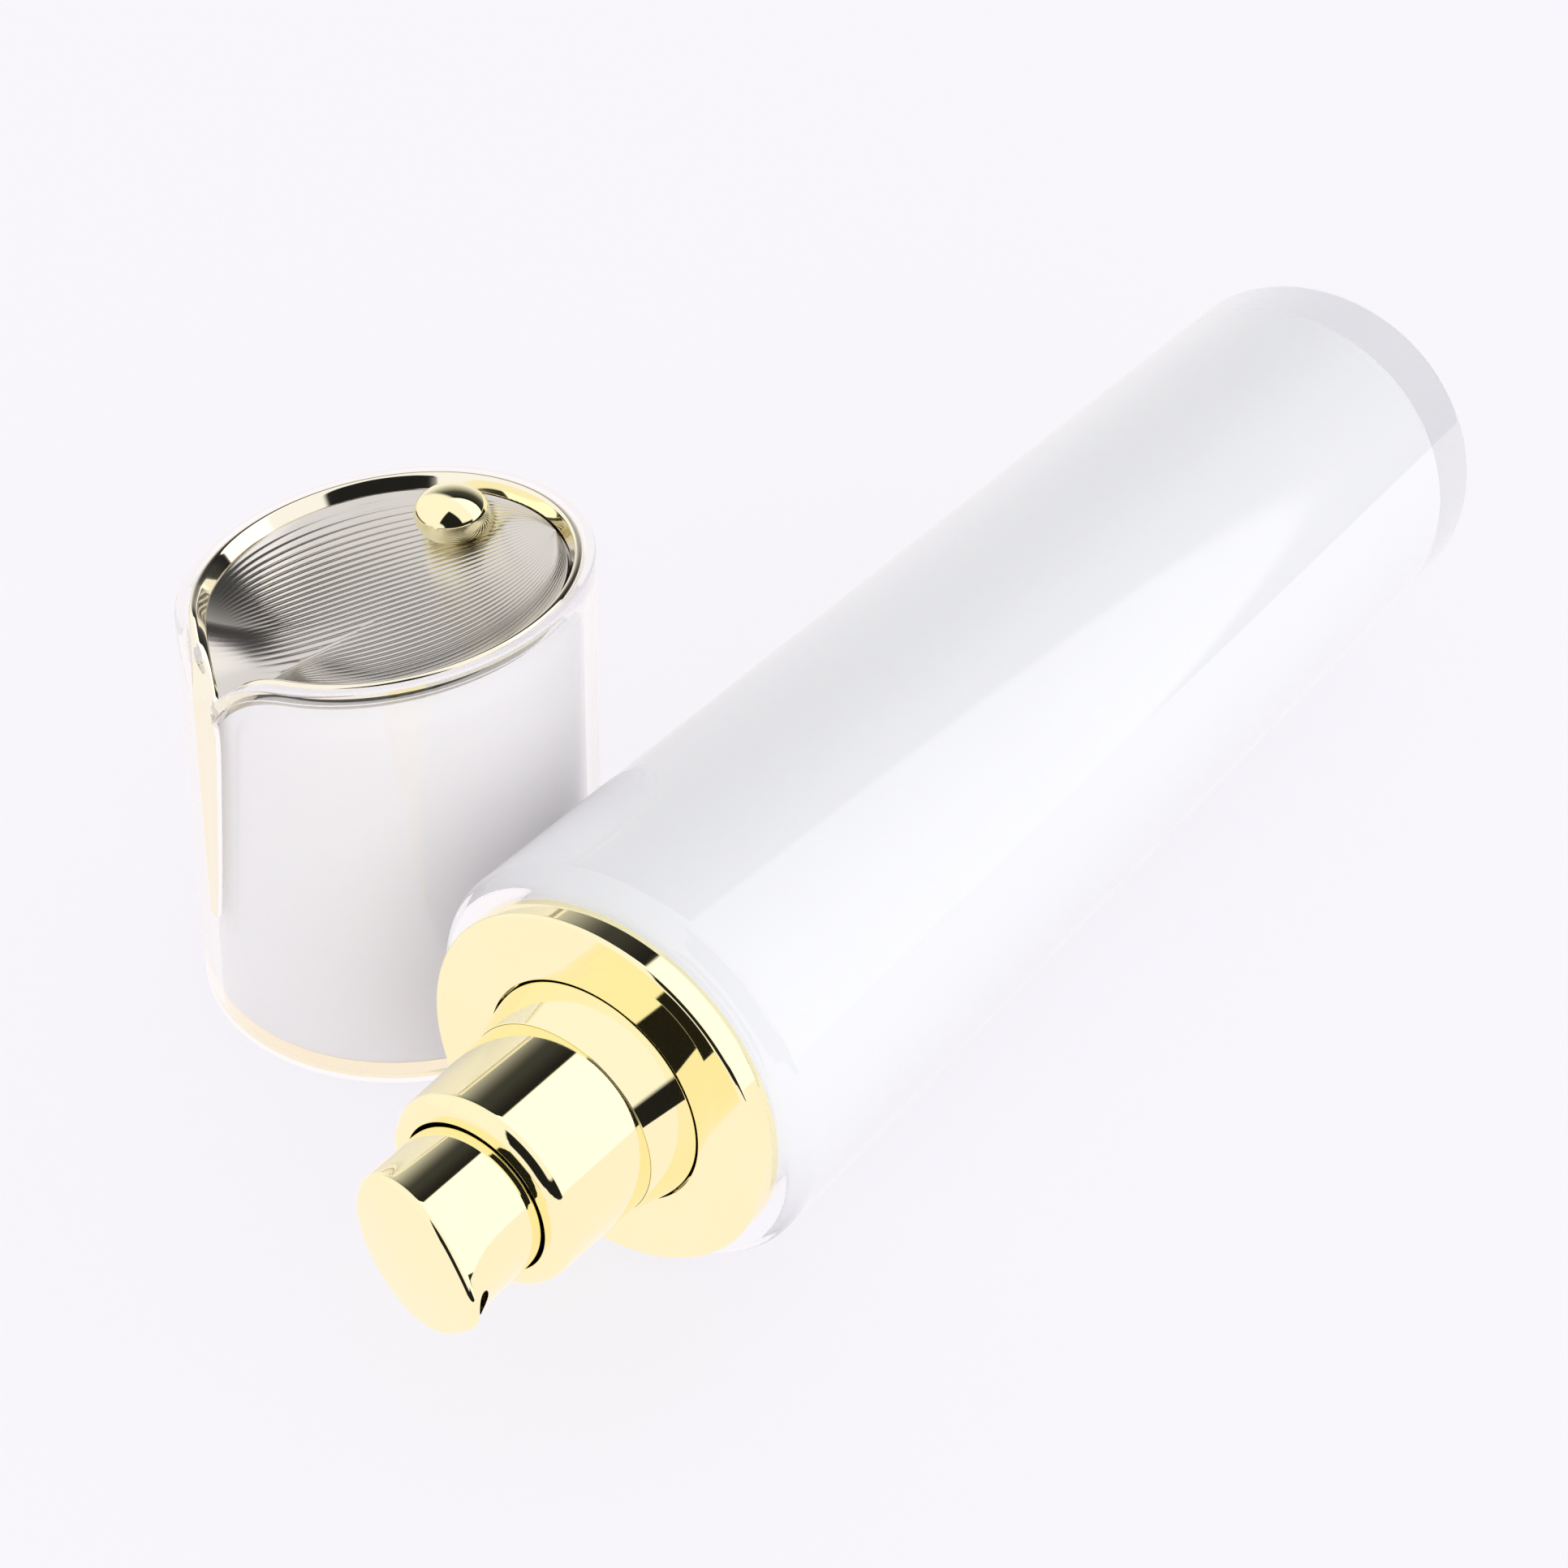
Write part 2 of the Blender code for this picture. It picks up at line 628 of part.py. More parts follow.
def make_pump_stem():
    profile = [
        (STEM_BORE_RADIUS, STEM_TOP),
        (STEM_RADIUS, STEM_TOP),
        (STEM_RADIUS, STEM_FOOT_UP),
        (STEM_FOOT_RADIUS, STEM_FOOT_UP),
        (STEM_FOOT_RADIUS, STEM_FOOT_UNDER),
        (STEM_BORE_RADIUS, STEM_FOOT_UNDER),
    ]
    turned("pump_stem", profile, NATURAL, PRESS, steps=HIDDEN_STEPS)


def make_stem_guide():
    tube = BARREL_RADIUS - ROUND_FIT
    bore = STEM_RADIUS + ROUND_FIT
    flange_top = GUIDE_SEAT + GUIDE_FLANGE_THICKNESS
    profile = [
        (bore, flange_top),
        (GUIDE_FLANGE_RADIUS, flange_top),
        (GUIDE_FLANGE_RADIUS, GUIDE_SEAT),
        (tube, GUIDE_SEAT),
        (tube, GUIDE_UNDER),
        (bore, GUIDE_UNDER),
    ]
    turned("stem_guide", profile, NATURAL, BOTTLE, steps=HIDDEN_STEPS)


def head_ring(shape, radius, height, slope, reach, segments):
    """One ring of the head. Its plane rises towards the spout, at -Y, and the spout reaches out of the round."""
    ring = []
    for index in range(segments):
        turn = 2 * math.pi * index / segments
        off_spout = math.remainder(turn + math.pi / 2, 2 * math.pi)
        bulge = reach * math.exp(-((off_spout / SPOUT_HALF_ANGLE) ** 2))
        out = radius + bulge
        across, along = out * math.cos(turn), out * math.sin(turn)
        ring.append(shape.verts.new((across, along, height - slope * along)))
    return ring


def head_body(name, radius, foot, drop, reach, material, segments, cutter=False):
    """A round plug with the head's sloping crowned top, with or without the spout."""
    slope = math.tan(HEAD_SLOPE)
    top = HEAD_TOP - drop

    def build(shape):
        rings = [head_ring(shape, radius, foot, 0.0, 0.0, segments)]
        for step in range(6):
            share = step / 5
            height = top - HEAD_EDGE - SPOUT_HEIGHT * (1 - share)
            rings.append(head_ring(shape, radius, height, slope * share, reach * share**2, segments))
        rings.append(head_ring(shape, radius - HEAD_EDGE * 0.3, top - HEAD_EDGE * 0.3, slope, reach, segments))
        rings.append(head_ring(shape, radius - HEAD_EDGE, top, slope, reach, segments))
        rings.append(head_ring(shape, radius * 0.5, top + HEAD_CROWN * 0.7, slope, reach * 0.5, segments))
        bridge_rings(shape, rings)
        shape.faces.new(rings[0][::-1])
        middle = shape.verts.new((0.0, 0.0, top + HEAD_CROWN))
        last = rings[-1]
        for index in range(segments):
            shape.faces.new((last[index], last[(index + 1) % segments], middle))

    return mesh_from(name, build, material, PRESS, cutter)


def make_press_head():
    head = head_body("press_head", HEAD_RADIUS, HEAD_FOOT, 0.0, SPOUT_REACH, GOLD, 48)
    hollow = head_body("head_hollow", HEAD_RADIUS - HEAD_WALL, HEAD_FOOT - HEAD_WALL, HEAD_WALL, 0.0, None, 32, True)
    outlet = outlet_bar("outlet_hole", OUTLET_RADIUS + ROUND_FIT, 2 * HEAD_RADIUS)
    cut(head, hollow, outlet)


def outlet_bar(name, radius, length):
    """A bar along the outlet, just under the sloping top and parallel to it, from the head's middle outwards."""
    direction = Vector((0.0, -math.cos(HEAD_SLOPE), math.sin(HEAD_SLOPE)))
    start = Vector((0.0, 0.0, HEAD_TOP - OUTLET_DEPTH))
    return round_bar(name, radius, start + direction * length / 2, direction, length, PRESS, 16)


def make_head_core():
    inner = HEAD_RADIUS - HEAD_WALL - REST_GAP
    foot = HEAD_FOOT + CORE_SHORTER
    core = head_body("head_core", inner, foot, HEAD_WALL + REST_GAP, 0.0, WHITE, 32)
    outlet_length = (HEAD_RADIUS + SPOUT_REACH - REST_GAP) / math.cos(HEAD_SLOPE)
    join(core, outlet_bar("outlet_tube", OUTLET_RADIUS, outlet_length))
    socket_top = STEM_TOP + REST_GAP
    socket_length = 2 * (socket_top - foot)
    socket = round_bar(
        "stem_socket", STEM_RADIUS + ROUND_FIT, Vector((0.0, 0.0, socket_top - socket_length / 2)),
        (0, 0, 1), socket_length, PRESS, HIDDEN_STEPS,
    )
    riser_length = HEAD_TOP - OUTLET_DEPTH - socket_top + 1.5 * MM
    riser = round_bar(
        "riser", OUTLET_RADIUS * 0.8, Vector((0.0, 0.0, socket_top - 1.5 * MM + riser_length / 2)),
        (0, 0, 1), riser_length, PRESS, 12,
    )
    cut(core, socket, riser, outlet_bar("outlet_bore", OUTLET_BORE_RADIUS, 2 * HEAD_RADIUS))


def cap_outside(height):
    return BODY_RADIUS - CAP_DRAFT * height


def lean(across, along):
    """How far the slanting top lies above its mean height at a place on the cap."""
    towards = across * math.cos(CAP_LEAN_TOWARDS) + along * math.sin(CAP_LEAN_TOWARDS)
    return -CAP_LEAN * towards


def rim_outside():
    return cap_outside(CAP_HEIGHT) - RIM_SEAT_WALL - ROUND_FIT


def leaf_drop(turn):
    """How far the rim has dropped towards the tail: a long sweep on the near side, a short one on the far side."""
    away = math.remainder(turn - TAIL_AT, 2 * math.pi) * rim_outside()

    def sweep(reach, drop):
        share = (reach - abs(away)) / (reach - TAIL_HALF_WIDTH)
        return drop * min(1.0, max(0.0, share)) ** DROP_POWER

    if abs(away) < TAIL_HALF_WIDTH:
        share = (away / TAIL_HALF_WIDTH + 1) / 2
        return FAR_DROP + (NEAR_DROP - FAR_DROP) * share * share * (3 - 2 * share)
    return sweep(NEAR_REACH, NEAR_DROP) if away > 0 else sweep(FAR_REACH, FAR_DROP)


def leaning(name, profile, material):
    """A turned cap piece of (radius, height, leans), whose points marked True follow the slanting top."""

    def build(shape):
        bridge_rings(shape, [ring_of(shape, level) for level in profile], closed_loop=True)

    return mesh_from(name, build, material, CAP)


def tail_side(height, clearance):
    """Half the tail's width at a height."""
    share = min(1.0, max(0.0, (height - TAIL_TIP_HEIGHT) / (tail_top() - TAIL_TIP_HEIGHT)))
    return TAIL_TIP_HALF_WIDTH + (TAIL_HALF_WIDTH - TAIL_TIP_HALF_WIDTH) * share**0.6 + clearance


def tail_top():
    radius = cap_outside(CAP_HEIGHT)
    return CAP_HEIGHT + lean(radius * math.cos(TAIL_AT), radius * math.sin(TAIL_AT)) - FAR_DROP


def tail_heights():
    """Heights for the tail's sections: closer together at its tip."""
    return [TAIL_TIP_HEIGHT + (tail_top() - TAIL_TIP_HEIGHT) * (i / 11) ** 1.3 for i in range(12)]


def tail_block(name, heights, half_width, depth_from, depth_to):
    """A strip along the tail, between two radii that follow the cap's draft."""

    def build(shape):
        rings = []
        for height in heights:
            half = half_width(height)
            ring = []
            for radius, sides in ((depth_to(height), (-1, -0.5, 0, 0.5, 1)), (depth_from(height), (1, 0, -1))):
                for side in sides:
                    turn = TAIL_AT + side * half / radius
                    ring.append(shape.verts.new((radius * math.cos(turn), radius * math.sin(turn), height)))
            rings.append(ring)
        bridge_rings(shape, rings)
        shape.faces.new(rings[0][::-1])
        shape.faces.new(rings[-1])

    return mesh_from(name, build, None, CAP, cutter=True)


def tail_slot(name, clearance, depth):
    """A cutter with the tail's outline and a clearance round it, this deep below the cap's outside."""
    heights = [TAIL_TIP_HEIGHT - clearance, *tail_heights()[1:], CAP_HEIGHT]
    return tail_block(
        name, heights, lambda h: tail_side(h, clearance),
        lambda h: cap_outside(h) - depth, lambda h: cap_outside(h) + CAP_WALL,
    )


def make_cap_shell():
    inner_mouth = BODY_RADIUS - CAP_WALL
    top_radius = cap_outside(CAP_HEIGHT)
    seat = CAP_HEIGHT - RIM_SEAT_DEPTH
    profile = [
        (BODY_RADIUS - CAP_EDGE, 0.0, False),
        (BODY_RADIUS, CAP_EDGE, False),
        (top_radius, CAP_HEIGHT - CAP_EDGE, True),
        (top_radius - CAP_EDGE, CAP_HEIGHT, True),
        (top_radius - RIM_SEAT_WALL, CAP_HEIGHT, True),
        (top_radius - RIM_SEAT_WALL, seat, True),
        (top_radius - CAP_WALL, seat, True),
        (inner_mouth, 0.0, False),
    ]
    shell = leaning("cap_shell", profile[::-1], CLEAR)
    cut(shell, tail_slot("tail_slot", ROUND_FIT, 2 * CAP_WALL))


def make_cap_liner():
    outside = LINER_RADIUS
    foot = REST_GAP + MOUTH_RING_HEIGHT + REST_GAP
    top = CAP_HEIGHT - LINER_BELOW_RIM
    ceiling_top = LINER_CEILING + LINER_CEILING_THICKNESS
    outside_top = outside - CAP_DRAFT * top
    inside = outside - LINER_WALL

    def build(shape):
        levels = [
            (outside - CAP_DRAFT * foot, foot, False),
            (outside_top, top, True),
            (outside_top - LINER_TOP_WALL, top, True),
            (outside_top - LINER_TOP_WALL, ceiling_top, False),
        ]
        below = [
            (inside - CAP_DRAFT * LINER_CEILING, LINER_CEILING, False),
            (inside - CAP_DRAFT * foot, foot, False),
        ]
        rings = [ring_of(shape, level) for level in levels]
        under = [ring_of(shape, level) for level in below]
        bridge_rings(shape, rings)
        bridge_rings(shape, [*under, rings[0]])
        shape.faces.new(rings[-1])
        shape.faces.new(under[0][::-1])

    liner = mesh_from("cap_liner", build, WHITE, CAP)
    cut(liner, tail_slot("liner_groove", REST_GAP, TAIL_THICKNESS + ROUND_FIT))


def ring_of(shape, level):
    """One ring of the cap. One that leans follows the slant, and drops with the rim towards the tail."""
    radius, height, leans = level
    ring = []
    for index in range(CAP_STEPS):
        turn = 2 * math.pi * index / CAP_STEPS
        across, along = radius * math.cos(turn), radius * math.sin(turn)
        up = lean(across, along) - leaf_drop(turn) if leans else 0.0
        ring.append(shape.verts.new((across, along, height + up)))
    return ring


def make_cap_mouth_ring():
    outside = LINER_RADIUS - CAP_DRAFT * MOUTH_RING_HEIGHT
    top = REST_GAP + MOUTH_RING_HEIGHT
    profile = [
        (outside, top),
        (outside, REST_GAP),
        (outside - LINER_WALL, REST_GAP),
        (outside - LINER_WALL, top),
    ]
    turned("cap_mouth_ring", profile, GOLD, CAP)


def make_leaf_rim():
    outside = rim_outside()
    inside = outside - RIM_BAND
    profile = [
        (outside, CAP_HEIGHT, True),
        (outside, CAP_HEIGHT - RIM_EDGE, True),
        (inside, CAP_HEIGHT - RIM_FALL - RIM_THICKNESS, True),
        (inside, CAP_HEIGHT - RIM_FALL, True),
    ]
    rim = leaning("leaf_rim", profile, GOLD)
    strip = tail_block(
        "tail_strip", tail_heights(), lambda h: tail_side(h, 0.0),
        lambda h: cap_outside(h) - TAIL_THICKNESS, lambda h: cap_outside(h) + TAIL_PROUD,
    )
    join(rim, strip)


def dish_edge():
    return rim_outside() - RIM_BAND - ROUND_FIT


def dish_plane(across, along):
    """Height of the plane through the dish's edge, without its dip at the tail."""
    return CAP_HEIGHT - RIM_FALL - ROUND_FIT + lean(across, along)


def dish_surface(across, along):
    """Height of the dish's surface, without its grooves and its dip at the tail."""
    out = min(1.0, math.hypot(across, along) / dish_edge())
    return dish_plane(across, along) - DISH_DEPTH * (1 - out**DISH_FLATNESS)


def make_leaf_dish():
    edge = dish_edge()
    tail = Vector((math.cos(TAIL_AT), math.sin(TAIL_AT), 0.0))
    cross = Vector((-tail.y, tail.x, 0.0))
    along_count = 17
    across_count = 2 * RIBS

    def surface(along, across, ridge):
        flat = edge * (along * tail + across * cross)
        out = math.hypot(along, across)
        dip = leaf_drop(math.atan2(flat.y, flat.x)) * out**4
        fade = max(0.0, 1 - out * out) ** 0.5
        return (flat.x, flat.y, dish_surface(flat.x, flat.y) - dip + ridge * RIB_HEIGHT * fade)

    def build(shape):
        poles = [shape.verts.new(surface(end, 0.0, 0.0)) for end in (1, -1)]
        rows = []
        for i in range(1, along_count):
            turn = math.pi * i / along_count
            half = math.sin(turn)
            row = []
            for j in range(across_count + 1):
                ridge = 0.5 if j % 2 else -0.5
                row.append(shape.verts.new(surface(math.cos(turn), half * (2 * j / across_count - 1), ridge)))
            rows.append(row)
        for near, far in zip(rows, rows[1:]):
            for j in range(across_count):
                shape.faces.new((near[j], near[j + 1], far[j + 1], far[j]))
        for pole, row in ((poles[0], rows[0]), (poles[1], rows[-1])):
            for j in range(across_count):
                shape.faces.new((pole, row[j], row[j + 1]))
        around = [poles[0], *[r[-1] for r in rows], poles[1], *[r[0] for r in reversed(rows)]]
        inner = edge - DISH_BOWL_INSET
        shrink = inner / edge
        under = [lowered(shape, v, 1.0, dip(v) - DISH_EDGE) for v in around]
        step = [lowered(shape, v, shrink, dip(v) - DISH_EDGE) for v in around]
        bottom = [lowered(shape, v, shrink, min(-DISH_BOTTOM, dip(v) - DISH_EDGE - ROUND_FIT)) for v in around]
        bridge_rings(shape, [around, under, step, bottom])
        middle = shape.verts.new((0.0, 0.0, dish_plane(0.0, 0.0) - DISH_BOTTOM))
        for index in range(len(bottom)):
            shape.faces.new((bottom[index], bottom[(index + 1) % len(bottom)], middle))

    def dip(vertex):
        return min(0.0, vertex.co.z - dish_plane(vertex.co.x, vertex.co.y))

    def lowered(shape, vertex, shrink, drop):
        across, along = vertex.co.x * shrink, vertex.co.y * shrink
        return shape.verts.new((across, along, dish_plane(across, along) + drop))

    dish = mesh_from("leaf_dish", build, PALE_METAL, CAP, sharp=60)
    cut(dish, bead_body("bead_seat", ROUND_FIT, None, cutter=True))


def bead_body(name, clearance, material, cutter=False):
    """The bead, a flattened ball on a stud, sunk a little into the dish."""
    out = dish_edge() - BEAD_RADIUS - BEAD_EDGE_GAP
    middle = Vector((out * math.cos(BEAD_AT), out * math.sin(BEAD_AT), 0.0))
    middle.z = dish_surface(middle.x, middle.y) + BEAD_HALF_HEIGHT - BEAD_SINK
    radius, half = BEAD_RADIUS + clearance, BEAD_HALF_HEIGHT + clearance
    stud = BEAD_STUD_RADIUS + clearance
    low = math.acos(stud / radius)
    lifts = [low * share for share in (-1, -0.75, -0.5, -0.25, 0, 0.25, 0.5, 0.75, 1)]
    levels = [(stud, middle.z - half - BEAD_STUD_LENGTH - clearance)]
    levels += [(radius * math.cos(lift), middle.z + half * math.sin(lift)) for lift in lifts]

    def build(shape):
        rings = []
        for ring_radius, height in levels:
            turns = [2 * math.pi * index / BEAD_STEPS for index in range(BEAD_STEPS)]
            rings.append([
                shape.verts.new((middle.x + ring_radius * math.cos(t), middle.y + ring_radius * math.sin(t), height))
                for t in turns
            ])
        bridge_rings(shape, rings)
        shape.faces.new(rings[0][::-1])
        tip = shape.verts.new((middle.x, middle.y, middle.z + half))
        for index in range(BEAD_STEPS):
            shape.faces.new((rings[-1][index], rings[-1][(index + 1) % BEAD_STEPS], tip))

    return mesh_from(name, build, material, CAP, cutter)


def make_dish_bead():
    bead_body("dish_bead", 0.0, GOLD)


make_outer_shell()
make_inner_bottle()
make_base_plug()
make_follower_piston()
make_collar_plate()
make_hub_ring()
make_pump_sleeve()
make_screw_closure()
make_neck_gasket()
make_pump_housing()
make_inlet_ball()
make_ball_cage()
make_return_spring()
make_stem_piston()
make_pump_stem()
make_stem_guide()
make_press_head()
make_head_core()
make_cap_shell()
make_cap_liner()
make_cap_mouth_ring()
make_leaf_rim()
make_leaf_dish()
make_dish_bead()
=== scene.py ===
# %% [markdown]
# A pump bottle lies on its side, and its overcap stands beside it on its mouth.
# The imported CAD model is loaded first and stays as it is. It says where every piece goes.
# The lesson then gives each visible piece a finer skin and a finish, and sets up a small studio.

# %% Load the CAD model
import json
import math

import bmesh
import bpy
from mathutils import Matrix, Vector


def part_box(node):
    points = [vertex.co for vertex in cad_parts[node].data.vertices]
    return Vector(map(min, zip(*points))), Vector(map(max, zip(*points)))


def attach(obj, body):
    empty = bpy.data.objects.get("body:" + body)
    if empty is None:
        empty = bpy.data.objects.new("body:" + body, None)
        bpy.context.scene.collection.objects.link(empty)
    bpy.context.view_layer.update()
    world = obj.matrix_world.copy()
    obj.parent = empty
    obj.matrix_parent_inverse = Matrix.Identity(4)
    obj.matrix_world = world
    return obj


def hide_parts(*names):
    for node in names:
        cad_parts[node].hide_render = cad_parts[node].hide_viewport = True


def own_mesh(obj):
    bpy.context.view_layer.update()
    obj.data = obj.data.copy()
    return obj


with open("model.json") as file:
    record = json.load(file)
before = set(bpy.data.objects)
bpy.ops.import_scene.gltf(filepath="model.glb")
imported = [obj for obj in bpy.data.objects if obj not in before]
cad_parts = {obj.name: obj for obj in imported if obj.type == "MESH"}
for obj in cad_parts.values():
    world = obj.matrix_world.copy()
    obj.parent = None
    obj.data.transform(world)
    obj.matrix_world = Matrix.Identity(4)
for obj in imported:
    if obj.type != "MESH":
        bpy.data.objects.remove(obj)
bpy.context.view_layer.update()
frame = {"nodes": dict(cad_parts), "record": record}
print("nodes in the frame:", len(frame["nodes"]))

# %% [markdown]
# Everything below is written in millimetres, because that is how a packaging drawing is read.
# The bottle is described upright, by radius and height from its foot, and then laid down with its
# pump towards -X. The cap is described upright round its own axis. Two small functions do the placing,
# and the CAD boxes of the shell and the cap tell them where the two axes are.

# %% Two axes to build round
MM = 0.001


def middle(node, axis):
    low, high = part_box(node)
    return (low[axis] + high[axis]) / 2 / MM


FOOT_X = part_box("outer_shell")[1][0] / MM
BOTTLE_Y, BOTTLE_Z = middle("outer_shell", 1), middle("outer_shell", 2)
CAP_X, CAP_Y = middle("cap_shell", 0), middle("cap_shell", 1)


def laid(x, y, h):
    """A point of the upright bottle, at its place on the lying one."""
    return Vector((FOOT_X - h, BOTTLE_Y + y, BOTTLE_Z + x)) * MM


def on_cap(x, y, h):
    return Vector((CAP_X + x, CAP_Y + y, h)) * MM


print("bottle foot", round(FOOT_X, 3), "cap axis", round(CAP_X, 3), round(CAP_Y, 3))

# %% [markdown]
# Shader maths reads best as ordinary expressions. This class wraps one socket of a node tree,
# so that `1 - mask * 0.3` adds the Math nodes by itself. Every other node comes from `node`.

# %% A socket that can be used in an expression
class Socket:
    def __init__(self, tree, socket=None):
        self.tree, self.socket = tree, socket

    def node(self, kind, settings=None, inputs=None, out=0):
        made = self.tree.nodes.new(kind)
        for name, value in (settings or {}).items():
            setattr(made, name, value)
        for name, value in (inputs or {}).items():
            if isinstance(value, Socket):
                self.tree.links.new(value.socket, made.inputs[name])
            else:
                made.inputs[name].default_value = value
        return Socket(self.tree, made.outputs[out] if made.outputs else None)

    def beside(self, name):
        """Another output of the same node."""
        return Socket(self.tree, self.socket.node.outputs[name])

    def maths(self, operation, *values):
        return self.node("ShaderNodeMath", {"operation": operation}, dict(enumerate(values)))

    def __add__(self, other):
        return self.maths("ADD", self, other)

    def __sub__(self, other):
        return self.maths("SUBTRACT", self, other)

    def __mul__(self, other):
        return self.maths("MULTIPLY", self, other)

    def __rsub__(self, other):
        return self.maths("SUBTRACT", other, self)

    __radd__, __rmul__ = __add__, __mul__

    def larger(self, other):
        return self.maths("MAXIMUM", self, other)

    def above(self, limit):
        """1 where it is more than the limit, and 0 elsewhere."""
        return self.maths("GREATER_THAN", self, limit)

    def rises(self, low, high):
        """0 below low, 1 above high, and smooth between them."""
        inputs = {0: self, 1: low, 2: high, 3: 0.0, 4: 1.0}
        return self.node("ShaderNodeMapRange", {"interpolation_type": "SMOOTHSTEP"}, inputs)

    def falls(self, low, high):
        return 1 - self.rises(low, high)


# %% [markdown]
# A finish is one Principled shader. `start_finish` makes it, sets what is the same all over on the
# shader's own sockets, and hands back the tree, so that what varies can be linked in afterwards.

# %% Start a finish
def start_finish(name, colour, roughness, metallic=0.0, **same):
    made = bpy.data.materials.new(name)
    made.use_nodes = True
    made.diffuse_color = (*colour, 1.0)
    shader = made.node_tree.nodes["Principled BSDF"]
    shader.inputs["Base Color"].default_value = (*colour, 1.0)
    shader.inputs["Roughness"].default_value = roughness
    shader.inputs["Metallic"].default_value = metallic
    for socket, value in same.items():
        shader.inputs[socket.replace("_", " ")].default_value = value
    graph = Socket(made.node_tree)
    place = graph.node("ShaderNodeTexCoord", out=3)
    return made, shader, graph, place


def noise(graph, place, per_mm, detail=2.0):
    """Fine unevenness, so many blotches to a millimetre."""
    inputs = {"Vector": place, "Scale": per_mm / MM, "Detail": detail}
    return graph.node("ShaderNodeTexNoise", {}, inputs)


def shade(graph, factor, dark, light):
    """A colour between two others."""
    inputs = {"Factor": factor, 6: (*dark, 1.0), 7: (*light, 1.0)}
    return graph.node("ShaderNodeMix", {"data_type": "RGBA"}, inputs, out=2)


def feed(shader, graph, **links):
    for socket, link in links.items():
        graph.tree.links.new(link.socket, shader.inputs[socket.replace("_", " ")])


def bumped(graph, height, strength, distance):
    inputs = {"Height": height, "Strength": strength, "Distance": distance * MM}
    return graph.node("ShaderNodeBump", {}, inputs)


# %% [markdown]
# The pump is plastic under a thin mirror plating. A real plated part is never quite optically flat:
# the plastic under it leaves a very faint long wave, and fingers leave slightly duller patches.
# Both are kept small here, because the photographed gold has crisp dark edges in it. The ring at the
# cap's mouth is seen through the clear wall and looks satin, so its gold is much rougher.

# %% Gold plating
def gold_finish(name, deep, pale, roughness):
    made, shader, graph, place = start_finish(name, pale, roughness, 1.0)
    wave = noise(graph, place, per_mm=0.09)
    wear = noise(graph, place, per_mm=0.5, detail=4.0)
    feed(
        shader, graph,
        Base_Color=shade(graph, wave, deep, pale),
        Roughness=wear * 0.03 + roughness,
        Normal=bumped(graph, wave, strength=0.12, distance=0.05),
    )
    return made


GOLD = gold_finish("gold_plating", (1.0, 0.92, 0.57), (1.0, 0.94, 0.61), 0.02)
PALE_GOLD = gold_finish("pale_gold_plating", (0.96, 0.91, 0.74), (0.98, 0.93, 0.78), 0.04)
SOFT_GOLD = gold_finish("soft_gold", (1.0, 0.89, 0.66), (1.0, 0.91, 0.70), 0.25)
print("gold finishes made")

# %% [markdown]
# The dish on the cap is a paler, champagne-coloured metal. Its grooves are real geometry, made further
# down, and here it only gets the softer shine of a pressed foil, with a grain far finer than a groove.

# %% Champagne metal
CHAMPAGNE, champagne, graph, place = start_finish("champagne_metal", (0.70, 0.67, 0.62), 0.2, 1.0)
grain = noise(graph, place, per_mm=6.0, detail=3.0)
clouds = noise(graph, place, per_mm=0.12)
feed(
    champagne, graph,
    Base_Color=shade(graph, clouds, (0.66, 0.63, 0.58), (0.74, 0.71, 0.66)),
    Roughness=grain * 0.06 + 0.16,
    Normal=bumped(graph, grain, strength=0.1, distance=0.01),
)
print("champagne metal made")

# %% [markdown]
# The outer shell and the cap are clear acrylic. Light bends at each face, and a thick round wall
# shows the white bottle inside it as wide as the shell itself. Blender's shadow and diffuse rays can't
# follow that bending well, so for them the wall counts as see-through, which is a Mix Shader whose
# factor is the kind of ray. Light that has been thrown back twice inside a wall gets out the same way.
# The body's own finish has a little haze, because its reflections in the photograph are soft.

# %% Clear acrylic
ACRYLIC_IOR, THROWN_BACK_TWICE = 1.49, 1.5
SEE_THROUGH = (0.99, 0.985, 0.988, 1.0)


def clear_finish(name, haze, tint):
    made, shader, graph, place = start_finish(name, tint, haze, IOR=ACRYLIC_IOR, Transmission_Weight=1.0)
    feed(shader, graph, Roughness=noise(graph, place, per_mm=0.4, detail=3.0) * 0.015 + haze)
    shadow = graph.node("ShaderNodeLightPath").beside("Is Shadow Ray")
    trapped = shadow.beside("Glossy Depth").above(THROWN_BACK_TWICE)
    straight_on = shadow.larger(shadow.beside("Is Diffuse Ray")).larger(trapped)
    through = graph.node("ShaderNodeBsdfTransparent", {}, {"Color": SEE_THROUGH})
    solid = Socket(graph.tree, shader.outputs[0])
    mixed = graph.node("ShaderNodeMixShader", {}, {0: straight_on, 1: solid, 2: through})
    graph.tree.links.new(mixed.socket, graph.tree.nodes["Material Output"].inputs["Surface"])
    return made


CLEAR = clear_finish("clear_acrylic", 0.0, (0.995, 0.998, 0.997))
CLEAR_BODY = clear_finish("clear_acrylic_body", 0.05, (0.995, 0.988, 0.993))
print("clear acrylic made")

# %% [markdown]
# Moulded plastics differ in colour and shine, and share one thing: a fine texture left by the mould.
# One function makes them all, with the texture in the roughness and in a shallow bump.

